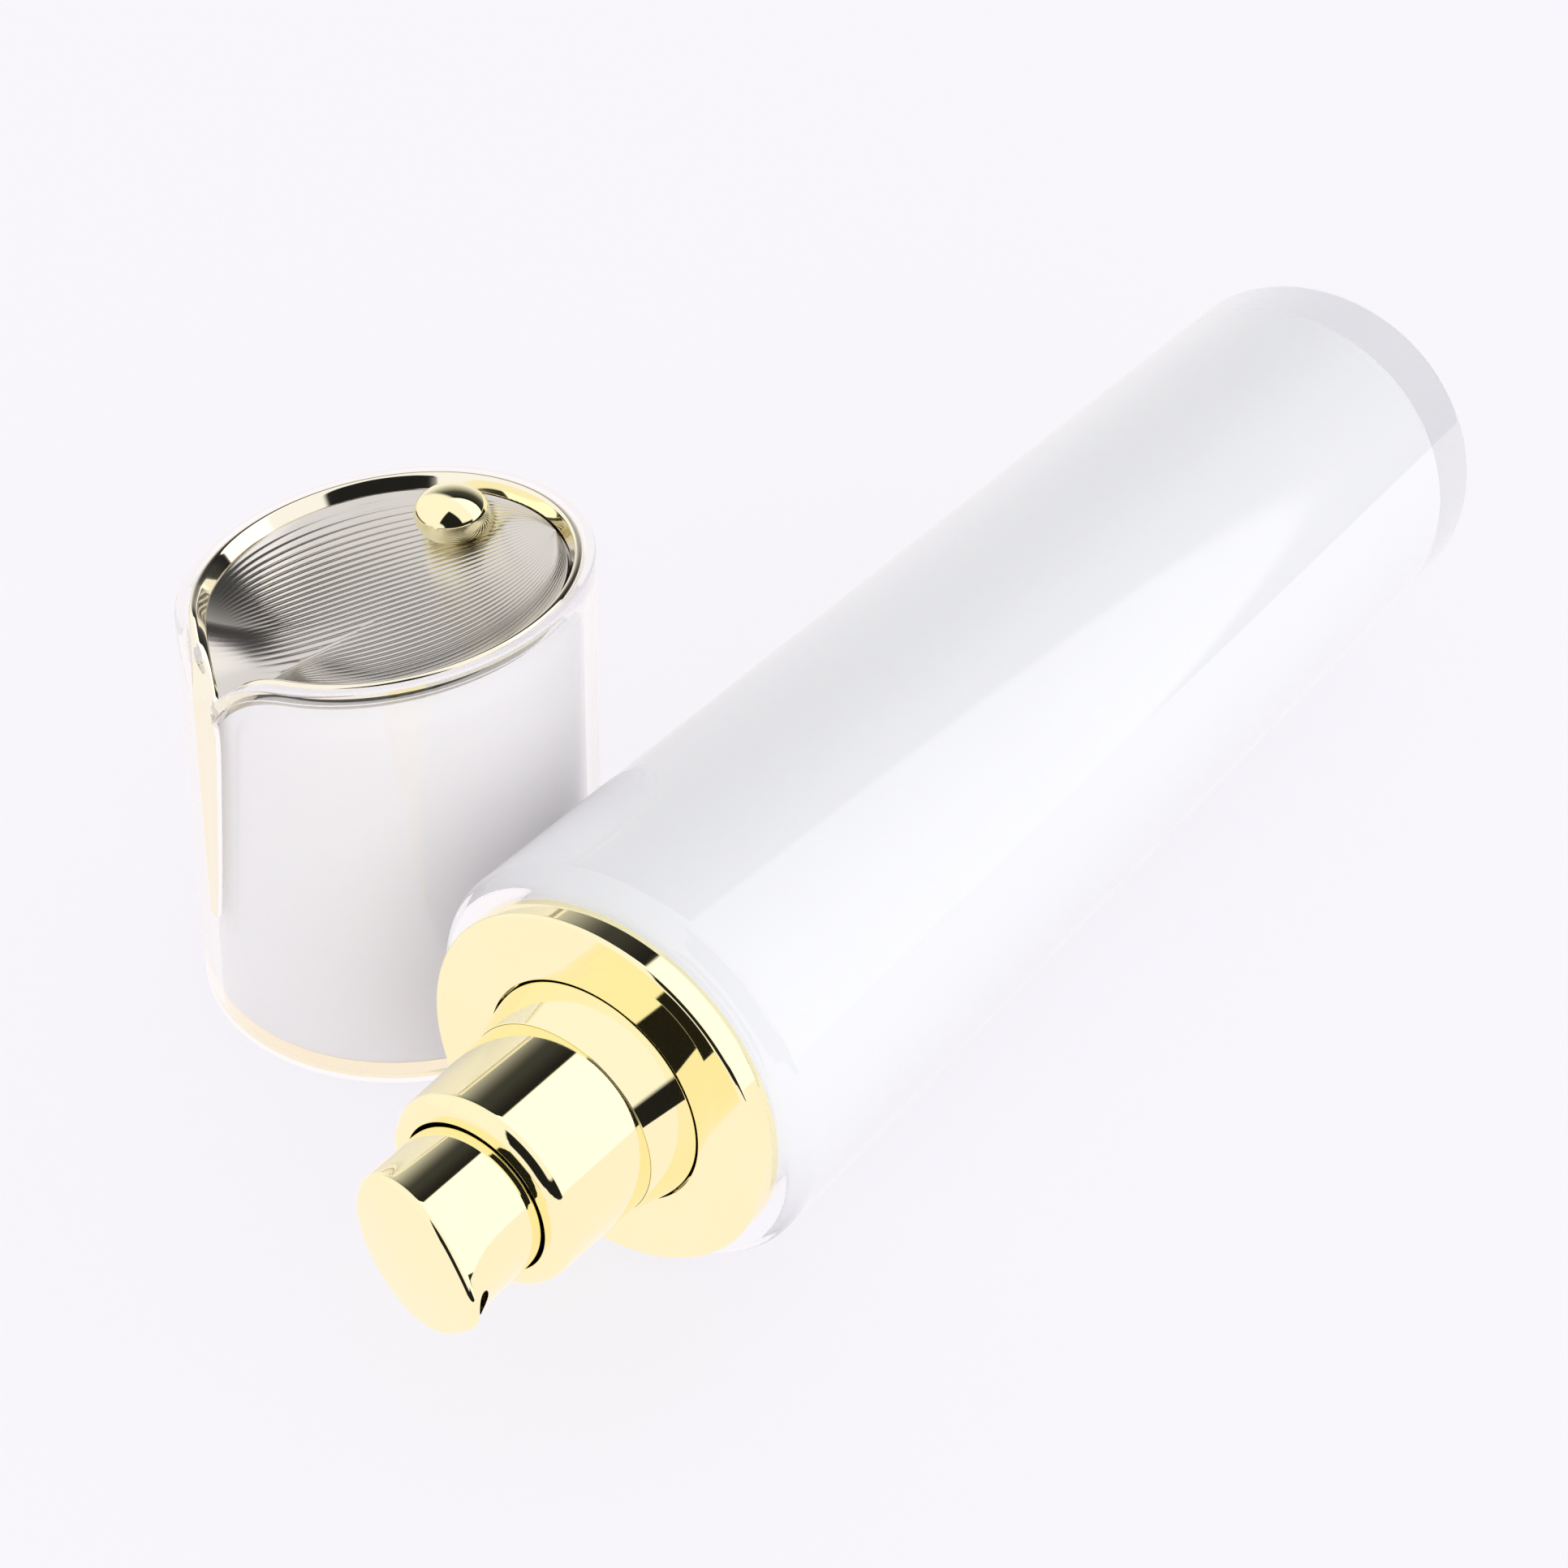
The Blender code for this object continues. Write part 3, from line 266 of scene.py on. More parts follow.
# %% Moulded plastics and the spring's steel
def moulded(name, colour, roughness, texture=0.06, per_mm=2.0, metallic=0.0, **same):
    made, shader, graph, place = start_finish(name, colour, roughness, metallic, **same)
    skin = noise(graph, place, per_mm, detail=3.0)
    cloud = noise(graph, place, per_mm=0.08)
    darker = tuple(level * 0.985 for level in colour)
    feed(
        shader, graph,
        Base_Color=shade(graph, cloud, darker, colour),
        Roughness=skin * texture + roughness,
        Normal=bumped(graph, skin, strength=0.08, distance=0.01),
    )
    return made


WHITE = moulded(
    "white_plastic", (0.915, 0.905, 0.915), 0.30, Subsurface_Weight=0.08, Subsurface_Scale=0.001
)
NATURAL = moulded(
    "natural_plastic", (0.84, 0.85, 0.84), 0.36, Subsurface_Weight=0.15, Subsurface_Scale=0.002
)
SEAL = moulded("soft_seal", (0.78, 0.80, 0.82), 0.55, texture=0.12)
STEEL = moulded("spring_steel", (0.72, 0.73, 0.75), 0.18, per_mm=8.0, metallic=1.0)
print("plastics and steel made")

# %% [markdown]
# The pieces inside the pump keep their CAD meshes, since they are seldom seen. Each gets its finish in
# the material slot that it already has, and the name of the material in that slot says which finish.

# %% Dress the CAD nodes
FINISHES = {
    "clear_acrylic": CLEAR, "white_plastic": WHITE, "natural_plastic": NATURAL, "soft_seal": SEAL,
    "spring_steel": STEEL, "gold_plating": GOLD, "champagne_metal": CHAMPAGNE,
}
SLOT_OF = {}
for name, node in frame["nodes"].items():
    for slot in node.material_slots:
        SLOT_OF[name] = slot.material.name.split(".")[0]
        slot.material = FINISHES[SLOT_OF[name]]
print("slots:", SLOT_OF)

# %% [markdown]
# A mirror shows every facet, so the visible pieces get finer skins. Nearly all of them are rings of
# points joined by faces, which is quick to write and gives even, clean meshes. Points that coincide are
# welded, and the faces are turned to look outwards.

# %% Join rings into a mesh
WELD = 0.0005


def as_object(name, shape, sharp=0):
    """An object shaded smooth, except along edges that turn by more than so many degrees."""
    mesh = bpy.data.meshes.new(name)
    shape.to_mesh(mesh)
    shape.free()
    mesh.shade_smooth()
    if sharp:
        mesh.set_sharp_from_angle(angle=math.radians(sharp))
    made = bpy.data.objects.new(name, mesh)
    bpy.context.scene.collection.objects.link(made)
    return made


def welded(name, shape, weld, sharp):
    bmesh.ops.remove_doubles(shape, verts=shape.verts, dist=weld * MM)
    bmesh.ops.recalc_face_normals(shape, faces=shape.faces)
    return as_object(name, shape, sharp)


def join(shape, first, second):
    for i in range(len(first)):
        j = (i + 1) % len(first)
        shape.faces.new((first[i], first[j], second[j], second[i]))


def to_mesh(name, rings, looped, sharp=0):
    """A piece from rings. It is a ring itself if looped, and otherwise both its ends are closed."""
    shape = bmesh.new()
    rows = [[shape.verts.new(point) for point in ring] for ring in rings]
    for lower, upper in list(zip(rows, rows[1:])) + ([(rows[-1], rows[0])] if looped else []):
        join(shape, lower, upper)
    if not looped:
        shape.faces.new(rows[0][::-1])
        shape.faces.new(rows[-1])
    return welded(name, shape, WELD, sharp)


print("points closer than", WELD, "mm are welded")

# %% [markdown]
# A skin takes the place of one solid. `stands_for` hides the CAD node that the piece stands for, and
# lets the piece ride on that node's body, so that it moves with the joints.

# %% Let a piece stand for a node
BODY_OF = {n: b for b, nodes in frame["record"]["behaviour"]["bodies"].items() for n in nodes}


def stands_for(piece, node, finish):
    piece.data.materials.clear()
    piece.data.materials.append(finish)
    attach(piece, BODY_OF[node])
    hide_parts(node)
    print(piece.name, "stands for", node, "with", len(piece.data.polygons), "faces")
    return piece


# %% [markdown]
# Real edges are never knife sharp. `eased` takes an outline and rounds each corner by a tenth of a
# millimetre or so. It adds a point just before and after each corner, which keeps the flat parts flat
# when the mesh is shaded smooth.

# %% Round the corners of an outline
EASE_STEPS, SHARE_OF_SIDE, GUARD = 3, 0.3, 1.5


def shares(count):
    """Even steps from 0 to 1."""
    return [step / count for step in range(count + 1)]


def eased(outline, radius, looped=True):
    points, total = [], len(outline)
    for index, corner in enumerate(outline):
        if not looped and index in (0, total - 1):
            points.append(corner)
            continue
        here = Vector(corner)
        before, after = Vector(outline[index - 1]) - here, Vector(outline[(index + 1) % total]) - here
        reach = min(radius, before.length * SHARE_OF_SIDE, after.length * SHARE_OF_SIDE)
        start, end = here + before.normalized() * reach, here + after.normalized() * reach
        points.append(tuple(here + before.normalized() * reach * GUARD))
        for share in shares(EASE_STEPS):
            bend = start * (1 - share) ** 2 + here * (2 * share * (1 - share)) + end * share**2
            points.append(tuple(bend))
        points.append(tuple(here + after.normalized() * reach * GUARD))
    return points


print("a rounded square has", len(eased([(0, 0), (1, 0), (1, 1), (0, 1)], 0.1)), "points")

# %% [markdown]
# A turned part is drawn once as its outline and swept round, just as its mould was turned on a lathe.

# %% Sweep an outline round an axis
def turns(count):
    return [2 * math.pi * index / count for index in range(count)]


def at(radius, turn):
    return radius * math.cos(turn), radius * math.sin(turn)


def lathe(name, outline, place, radius, looped=True, count=192):
    points = eased(outline, radius, looped)
    return to_mesh(name, [[place(*at(r, turn), h) for turn in turns(count)] for r, h in points], looped)


def turned(node, outline, finish, place=laid, **how):
    return stands_for(lathe(node + "_skin", outline, place, **how), node, finish)


print("a quarter turn at radius 1 is at", [round(value, 3) for value in at(1, turns(4)[1])])

# %% [markdown]
# The body is a thick clear tube, closed at its foot, over a white bottle. Both are turned parts, and
# their outlines give a radius and a height from the foot for each corner.

# %% The clear shell and the white bottle in it
RADIUS, LENGTH, BORE, BASE, CHAMFER = 17.0, 114.5, 14.0, 5.5, 1.1
shell = [
    (0.0, BASE), (BORE, BASE), (BORE, LENGTH), (RADIUS - CHAMFER, LENGTH),
    (RADIUS, LENGTH - CHAMFER), (RADIUS, CHAMFER), (RADIUS - CHAMFER, 0.0), (0.0, 0.0),
]
turned("outer_shell", shell, CLEAR_BODY, looped=False, radius=0.35)

INNER, INNER_BORE, NECK, NECK_BORE, INNER_WALL = 13.6, 12.3, 9.2, 7.8, 1.3
NECK_TOP, NECK_FOOT, SHOULDER, INNER_FOOT = 107.4, 98.4, 95.4, 5.8
inner = [
    (NECK, NECK_TOP), (NECK, NECK_FOOT), (INNER, SHOULDER), (INNER, INNER_FOOT),
    (INNER_BORE, INNER_FOOT), (INNER_BORE, SHOULDER - INNER_WALL),
    (NECK_BORE, NECK_FOOT - INNER_WALL), (NECK_BORE, NECK_TOP),
]
turned("inner_bottle", inner, WHITE, radius=0.3, count=128)

# %% [markdown]
# The bore is lacquered white. The coat touches the clear wall all over, without a film of air between
# them, so light that enters the wall reaches it from every side. That is why the body looks white
# right out to its edges, where a loose white bottle would leave a dark or clear border.

# %% The lacquer in the bore
COAT, COAT_STOPS_SHORT = 0.05, 0.2
coat_top = LENGTH - COAT_STOPS_SHORT
coat = [
    (0.0, BASE - COAT), (BORE + COAT, BASE - COAT), (BORE + COAT, coat_top), (BORE - COAT, coat_top),
    (BORE - COAT, BASE + COAT), (0.0, BASE + COAT),
]
lacquer = lathe("bore_lacquer", coat, laid, radius=0.02, looped=False)
lacquer.data.materials.append(WHITE)
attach(lacquer, "bottle")
print("lacquer laid on the bore")

# %% [markdown]
# Three plated rings make the gold part of the pump that stays still: the plate with its skirt down in
# the shell, the tapering hub, and the sleeve, whose shoulder is a quarter circle. The hub's thin end is
# only 0.1 mm proud of the sleeve and closes on it, because a mirror shows any gap there as a dark line.

# %% Plate, hub and sleeve
FIT = 0.15
PLATE, PLATE_UNDER, PLATE_TOP, PLATE_BEVEL = 14.9, 114.8, 117.1, 0.2
PLATE_SKIRT, PLATE_SKIRT_BORE, PLATE_SKIRT_DEEP = 13.7, 12.7, 8.0
HUB_FOOT, HUB_LEDGE, HUB_TOP, HUB_LIP = 112.0, 114.5, 120.9, 0.6
HUB_WIDE, HUB_NARROW, HUB_FLANGE = 9.35, 8.31, 10.6
SLEEVE, SLEEVE_WIDE, SLEEVE_BORE, TOUCHING = 7.95, 8.2, 7.15, 0.01
SLEEVE_FOOT, SLEEVE_TOP, SHOULDER_ROUND, MOUTH, MOUTH_WALL = 112.3, 130.3, 1.2, 6.2, 2.4

plate = [
    (HUB_WIDE + FIT, PLATE_TOP), (PLATE - PLATE_BEVEL, PLATE_TOP), (PLATE, PLATE_TOP - PLATE_BEVEL),
    (PLATE, PLATE_UNDER), (PLATE_SKIRT, PLATE_UNDER), (PLATE_SKIRT, PLATE_UNDER - PLATE_SKIRT_DEEP),
    (PLATE_SKIRT_BORE, PLATE_UNDER - PLATE_SKIRT_DEEP), (PLATE_SKIRT_BORE, PLATE_UNDER),
    (HUB_WIDE + FIT, PLATE_UNDER),
]
turned("collar_plate", plate, GOLD, radius=0.08)

hub = [
    (SLEEVE_WIDE + TOUCHING, HUB_TOP), (HUB_NARROW, HUB_TOP), (HUB_WIDE, PLATE_TOP), (HUB_WIDE, HUB_LEDGE),
    (HUB_FLANGE, HUB_LEDGE), (HUB_FLANGE, HUB_FOOT), (SLEEVE_WIDE + FIT, HUB_FOOT),
    (SLEEVE_WIDE + FIT, HUB_TOP - HUB_LIP),
]
turned("hub_ring", hub, GOLD, radius=0.03)

sleeve = [(MOUTH, SLEEVE_TOP)]
for step in range(13):
    turn = math.radians(90 - 90 * step / 12)
    round_off = SHOULDER_ROUND * (1 - math.cos(turn)), SHOULDER_ROUND * (1 - math.sin(turn))
    sleeve.append((SLEEVE - round_off[0], SLEEVE_TOP - round_off[1]))
sleeve += [
    (SLEEVE_WIDE, HUB_TOP), (SLEEVE_WIDE, SLEEVE_FOOT), (SLEEVE_BORE, SLEEVE_FOOT),
    (SLEEVE_BORE, SLEEVE_TOP - MOUTH_WALL), (MOUTH, SLEEVE_TOP - SHOULDER_ROUND),
]
turned("pump_sleeve", sleeve, GOLD, radius=0.1)

# %% [markdown]
# The press head is round at its foot. Towards the top it grows a beak on one side, and its face slopes
# up to the beak. Each ring is therefore a circle with a bulge added to its radius, and its height
# depends on how far across the head a point lies. The inside follows in the same run of rings.

# %% The press head's outside and inside
HEAD, HEAD_FOOT, HEAD_TOP, HEAD_WALL = 6.0, 122.85, 137.33, 0.8
HEAD_EDGE, FOOT_EDGE, CROWN = 0.55, 0.1, 0.35
SLOPE, REACH = math.tan(math.radians(12.4)), 1.15
BEAK_HEIGHT, BEAK_HALF_ANGLE, BEAK_GROWS = 6.0, math.radians(24), 4


def head_ring(radius, height, slope=SLOPE, reach=0.0, count=192):
    ring = []
    for turn in turns(count):
        off_beak = math.remainder(turn + math.pi / 2, 2 * math.pi)
        across, along = at(radius + reach * math.exp(-((off_beak / BEAK_HALF_ANGLE) ** 2)), turn)
        ring.append(laid(across, along, height - slope * along))
    return ring


head = [head_ring(HEAD - FOOT_EDGE, HEAD_FOOT, 0.0), head_ring(HEAD, HEAD_FOOT + FOOT_EDGE, 0.0)]
for share in shares(32):
    height = HEAD_TOP - HEAD_EDGE - BEAK_HEIGHT * (1 - share)
    head.append(head_ring(HEAD, height, SLOPE * share, REACH * share**BEAK_GROWS))
for share in shares(8)[1:]:
    bend = math.pi / 2 * share
    radius = HEAD - HEAD_EDGE * (1 - math.cos(bend))
    head.append(head_ring(radius, HEAD_TOP - HEAD_EDGE * (1 - math.sin(bend)), reach=REACH))
for share in shares(12)[1:]:
    out = 1 - share
    head.append(head_ring((HEAD - HEAD_EDGE) * out, HEAD_TOP + CROWN * (1 - out**2), reach=REACH * out))
inside = HEAD - HEAD_WALL
head += [head_ring(inside * share, HEAD_TOP - HEAD_WALL) for share in shares(8)]
head.append(head_ring(inside, HEAD_FOOT, 0.0))
press_head = to_mesh("press_head_skin", head, True, 30)
print("press head rings:", len(head))

# %% [markdown]
# The outlet is a small round hole through the beak's end. A Boolean cut is the simplest way to put
# a clean round hole in a curved wall, and the cutter goes once its cut is applied.

# %% Cut the outlet
def bar(radius, start, end, place, count=32):
    """A round bar between two points, to cut with."""
    begin, finish = place(*start), place(*end)
    way = (finish - begin).normalized()
    side = way.orthogonal().normalized()
    other = way.cross(side)
    around = [(side * math.cos(t) + other * math.sin(t)) * radius * MM for t in turns(count)]
    return to_mesh("bar", [[begin + a for a in around], [finish + a for a in around]], False)


def cut(target, cutter, sharp=30):
    step = target.modifiers.new("cut", "BOOLEAN")
    step.operation, step.object, step.solver = "DIFFERENCE", cutter, "EXACT"
    bpy.context.view_layer.update()
    graph = bpy.context.evaluated_depsgraph_get()
    mesh = bpy.data.meshes.new_from_object(target.evaluated_get(graph))
    target.modifiers.clear()
    target.data = mesh
    mesh.shade_smooth()
    mesh.set_sharp_from_angle(angle=math.radians(sharp))
    bpy.data.objects.remove(cutter, do_unlink=True)


OUTLET, OUTLET_DEPTH = 0.75, 1.45
outlet_height = HEAD_TOP - OUTLET_DEPTH
outlet_end = (0, -2 * HEAD, outlet_height + 2 * HEAD * SLOPE)
cut(press_head, bar(OUTLET, (0, 0, outlet_height), outlet_end, laid))
stands_for(press_head, "press_head", GOLD)

# %% [markdown]
# A plated head is a thin shell over a white core, which carries the stem in a socket. The core ends
# below the outlet and its own channel is left out, so the outlet shows a dark hollow, as it should.

# %% The head's core
SOCKET, SOCKET_TOP, CORE_TOP, CORE_SET_IN = 2.3, 132.0, 134.4, 1.0
core_radius, core_foot = HEAD - HEAD_WALL - FIT, HEAD_FOOT + CORE_SET_IN
core = [
    (0.0, SOCKET_TOP), (SOCKET, SOCKET_TOP), (SOCKET, core_foot), (core_radius, core_foot),
    (core_radius, CORE_TOP), (0.0, CORE_TOP),
]
turned("head_core", core, WHITE, looped=False, radius=0.2, count=64)

# %% [markdown]
# The return spring stands between the cage, which stays, and the stem's foot, which comes down with the
# head. A real spring gets shorter as the head goes down.

# %% The return spring
SPRING_LOW, SPRING_HIGH, SPRING, WIRE, TRAVEL = 87.0, 99.0, 3.0, 0.3, 5.0
COILS, END_COILS, END_PITCH, PER_COIL, AROUND_WIRE = 6, 0.75, 2.6, 24, 10
NEAR = 0.01


def spring_height(coil):
    """Closed coils at both ends, and an even pitch between them."""
    low, high = SPRING_LOW + WIRE, SPRING_HIGH - WIRE
    closed = END_PITCH * WIRE * END_COILS
    if coil < END_COILS:
        return low + closed * coil / END_COILS
    if coil > COILS - END_COILS:
        return high - closed * (COILS - coil) / END_COILS
    return low + closed + (high - low - 2 * closed) * (coil - END_COILS) / (COILS - 2 * END_COILS)


rings = []
for step in range(COILS * PER_COIL + 1):
    coil = step / PER_COIL
    turn = 2 * math.pi * coil
    out = Vector((math.cos(turn), math.sin(turn), 0.0))
    rise = spring_height(min(coil + NEAR, COILS)) - spring_height(max(coil - NEAR, 0.0))
    way = Vector((-math.sin(turn), math.cos(turn), rise / (2 * NEAR * 2 * math.pi * SPRING))).normalized()
    up = way.cross(out)
    centre = out * SPRING + Vector((0.0, 0.0, spring_height(coil)))
    around = [centre + out * WIRE * math.cos(t) + up * WIRE * math.sin(t) for t in turns(AROUND_WIRE)]
    rings.append([laid(*point) for point in around])
spring = stands_for(to_mesh("return_spring_skin", rings, False), "return_spring", STEEL)
tuple(laid(0, 0, SPRING_HIGH))
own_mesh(spring)

# %% [markdown]
# The cap's top is cut on a slant, and its wall tapers a little, as a moulded cap has to. `lean` gives
# the slant's height at any place, and `wall` gives the outside radius at any height. On one side of the
# tail the cap's lip dips towards it in a curve, which `near_drop` gives.

# %% The cap's slant, taper and dip
CAP_HEIGHT, DRAFT, LEAN, LEAN_TOWARDS = 38.4, 0.0177, 0.1455, math.radians(122)
TAIL_AT, TAIL_HALF = math.radians(160.5), 1.75
NEAR_REACH, NEAR_DROP, NEAR_CURVE, NEAR_RADIUS = 9.0, 3.5, 2.2, 15.67
LOWEST_AT, ENDS_AT, ENDS_OVER = 0.5, -1.2, 1.7
CAP_STEPS = 360


def lean(across, along):
    return -LEAN * (across * math.cos(LEAN_TOWARDS) + along * math.sin(LEAN_TOWARDS))


def wall(height):
    return RADIUS - DRAFT * height


def smooth(value):
    value = min(1.0, max(0.0, value))
    return value * value * (3 - 2 * value)


def near_drop(turn):
    away = math.remainder(turn - TAIL_AT, 2 * math.pi) * NEAR_RADIUS
    share = max(0.0, (NEAR_REACH - max(away, LOWEST_AT)) / (NEAR_REACH - TAIL_HALF))
    return NEAR_DROP * share**NEAR_CURVE * smooth((away - ENDS_AT) / ENDS_OVER)


def cap_ring(radius, height, leaning=1.0):
    ring = []
    for turn in turns(CAP_STEPS):
        across, along = at(radius, turn)
        ring.append(on_cap(across, along, height + leaning * (lean(across, along) - near_drop(turn))))
    return ring


def between(lower, upper, count):
    """Rings spaced evenly between two others."""
    return [[a.lerp(b, share) for a, b in zip(lower, upper)] for share in shares(count)[1:-1]]


print("the cap is", round(2 * wall(CAP_HEIGHT), 2), "mm wide at its top")

# %% [markdown]
# One gold ribbon makes the rim and the tail. It starts behind the tail, goes once round the cap on its
# slant, and then turns off, twists to face outwards, and runs down the cap, narrowing to a point. Each
# step of its path has a place, a direction across, half a width, and a share from 0, rim, to 1, tail.

# %% The ribbon's places and directions
RIM, RIM_HALF = 14.72, 0.58
RIM_BEGINS, RIM_LEAVES = math.radians(162.5), math.radians(136) + 2 * math.pi
TAIL_STARTS, TAIL_TOP, TAIL_TIP, TAIL_TIP_HALF, TAIL_NARROWS, TAIL_PROUD = 30.5, 36.6, 10.8, 0.35, 0.45, 0.1
LOW_ON_TAIL, LOW_AT, TURNS_PER_MM = 12.0, 157.7, 0.2304


def rim_place(turn, radius=RIM):
    across, along = at(radius, turn)
    return Vector((across, along, CAP_HEIGHT + lean(across, along) - near_drop(turn)))


def rim_side(turn):
    return (rim_place(turn, RIM + RIM_HALF) - rim_place(turn, RIM - RIM_HALF)).normalized()


def tail_turn(height):
    """The tail leans: it moves round the cap by so many degrees for each millimetre of height."""
    return math.radians(LOW_AT + (height - LOW_ON_TAIL) * TURNS_PER_MM)


def tail_half(height):
    share = min(1.0, max(0.0, (height - TAIL_TIP) / (TAIL_TOP - TAIL_TIP)))
    return TAIL_TIP_HALF + (TAIL_HALF - TAIL_TIP_HALF) * share**TAIL_NARROWS


def tail_place(height):
    return Vector((*at(wall(height) + TAIL_PROUD, tail_turn(height)), height))


def tail_side(height):
    return Vector((math.sin(tail_turn(height)), -math.cos(tail_turn(height)), 0.0))


print("the tail is", round(2 * tail_half(TAIL_STARTS), 2), "mm wide where it starts")

# %% [markdown]
# The path itself has three runs. The bend between the rim and the tail is a Hermite curve, which leaves
# the rim and meets the tail in their own directions. Two lengths say how far it keeps to each.

# %% The ribbon's path
RIM_STEPS, BEND_STEPS, TAIL_STEPS = 360, 60, 60
KEEPS_TO_RIM, KEEPS_TO_TAIL = 5.0, 7.0

path = []
for step in range(RIM_STEPS + 1):
    turn = RIM_BEGINS + (RIM_LEAVES - RIM_BEGINS) * step / RIM_STEPS
    path.append((rim_place(turn), rim_side(turn), RIM_HALF, 0.0))
CORNER = len(path)
start, end = rim_place(RIM_LEAVES), tail_place(TAIL_STARTS)
start_way = (rim_place(RIM_LEAVES + 0.01) - start).normalized() * KEEPS_TO_RIM
end_way = (tail_place(TAIL_STARTS - 0.1) - end).normalized() * KEEPS_TO_TAIL
for s in shares(BEND_STEPS)[1:-1]:
    place = start * (2 * s**3 - 3 * s**2 + 1) + start_way * (s**3 - 2 * s**2 + s)
    place += end * (3 * s**2 - 2 * s**3) + end_way * (s**3 - s**2)
    share = smooth(s)
    half = RIM_HALF + (tail_half(TAIL_STARTS) - RIM_HALF) * share**3
    path.append((place, rim_side(RIM_LEAVES).lerp(tail_side(TAIL_STARTS), share).normalized(), half, share))
for step in range(TAIL_STEPS + 1):
    height = TAIL_STARTS + (TAIL_TIP - TAIL_STARTS) * math.sin(math.pi / 2 * step / TAIL_STEPS)
    path.append((tail_place(height), tail_side(height), tail_half(height), 1.0))
print("ribbon steps:", len(path), "of which", CORNER, "on the rim")

# %% [markdown]
# On the rim the ribbon's section is a half-round bead with a slope on its inner side, down to the dish.
# On the tail it is a shallow valley between two round edges. `ribbon` blends from one to the other. The
# same path, made wider and deeper, cuts the tail's slot into the clear wall and into the liner. Where
# the path turns off the rim, a wide section would fold over itself, so the rings there are averaged
# with their neighbours many times over.

# %% The ribbon's section
BEAD_ROUND, BEAD_MIDDLE, SLOPE_FROM, SLOPE_TOP, SLOPE_RATE = 0.36, 0.22, -0.0985, -0.191, 1.889
TAIL_ROUND, VALLEY, VALLEY_FLANK, TAIL_THICKNESS = 0.4, 0.32, 1.25, 0.6
UNDER_TILT, UNDER_DEPTH = 0.4, 1.3
SMOOTH_BEFORE, SMOOTH_AFTER, SMOOTHINGS = 15, 75, 40


def rim_lift(across):
    if across < SLOPE_FROM:
        return SLOPE_TOP - (SLOPE_FROM - across) * SLOPE_RATE
    return math.sqrt(max(0.0, BEAD_ROUND**2 - (across - BEAD_MIDDLE) ** 2)) - BEAD_ROUND


def tail_lift(side, half):
    round_off = min(TAIL_ROUND, half * 0.5)
    from_side = (1 - abs(side)) * half
    drop = 0.0
    if from_side < round_off:
        drop = round_off - math.sqrt(max(0.0, round_off**2 - (round_off - from_side) ** 2))
    return -drop - VALLEY * min(1.0, half / TAIL_HALF) * smooth(VALLEY_FLANK - VALLEY_FLANK * abs(side))


def section(half, share, low, high, across):
    """Points round the ribbon, as a place from side to side and a lift, from 1 to -1 and back below."""
    sides = [math.sin(math.pi / 2 * (1 - 2 * i / (across - 1))) for i in range(across)]
    points = []
    for side in sides:
        lift = rim_lift(side * RIM_HALF) * (1 - share) + tail_lift(side, half) * share
        points.append((side, lift if high is None else high))
    for side in reversed(sides):
        lift = (UNDER_TILT * side - UNDER_DEPTH) * (1 - share) - TAIL_THICKNESS * share
        points.append((side, lift if low is None else low))
    return points


def ribbon(name, first=0, wider=0.0, low=None, high=None, across=33):
    rings = []
    for index in range(first, len(path)):
        place, aside, half, share = path[index]
        way = (path[min(index + 1, len(path) - 1)][0] - path[max(index - 1, 0)][0]).normalized()
        up = aside.cross(way).normalized()
        aside = way.cross(up)
        around = section(half, share, low, high, across)
        rings.append([on_cap(*(place + aside * side * (half + wider) + up * lift)) for side, lift in around])
    start, stop = max(1, CORNER - SMOOTH_BEFORE - first), CORNER + SMOOTH_AFTER - first
    for _ in range(SMOOTHINGS):
        rings[start:stop] = [
            [(a + b * 2 + c) / 4 for a, b, c in zip(*rings[index - 1:index + 2])]
            for index in range(start, stop)
        ]
    return to_mesh(name, rings, False)


rim = ribbon("leaf_rim_skin")
rim.data.set_sharp_from_angle(angle=math.radians(50))
stands_for(rim, "leaf_rim", PALE_GOLD)

# %% [markdown]
# The cap's clear wall is a ring with a slanted top, and inside its lip a step on which the gold rim
# lies. A lathe can't make a slant, so its rings are built one by one, with a rounded lip, and the slot
# for the tail is cut out of it with the ribbon itself.

# %% The cap's clear wall
CAP_WALL, CAP_EDGE, SEAT_DEPTH = 1.0, 0.3, 1.4
top, seat = wall(CAP_HEIGHT), CAP_HEIGHT - SEAT_DEPTH
inner_lip = RIM + RIM_HALF + FIT
foot_out = cap_ring(RADIUS, CAP_EDGE, 0.0)
lip_out = cap_ring(top, CAP_HEIGHT - CAP_EDGE)
foot_in = cap_ring(RADIUS - CAP_WALL, 0.0, 0.0)
seat_in = cap_ring(top - CAP_WALL, seat)
lip = [
    (top - 0.04, 0.13), (top - 0.14, 0.04), (top - CAP_EDGE, 0.01), (inner_lip + 0.1, 0.01),
    (inner_lip, 0.1),
]
rings = [cap_ring(RADIUS - CAP_EDGE, 0.0, 0.0), cap_ring(RADIUS - 0.08, 0.1, 0.0), foot_out]
rings += between(foot_out, lip_out, 24) + [lip_out]
rings += [cap_ring(radius, CAP_HEIGHT - drop) for radius, drop in lip]
rings += [cap_ring(inner_lip, seat), seat_in] + between(seat_in, foot_in, 24) + [foot_in]
cap_shell = to_mesh("cap_shell_skin", rings, True, 35)
cut(cap_shell, ribbon("slot", first=CORNER, wider=0.1, low=-2.0, high=2.5, across=3), sharp=35)
stands_for(cap_shell, "cap_shell", CLEAR)

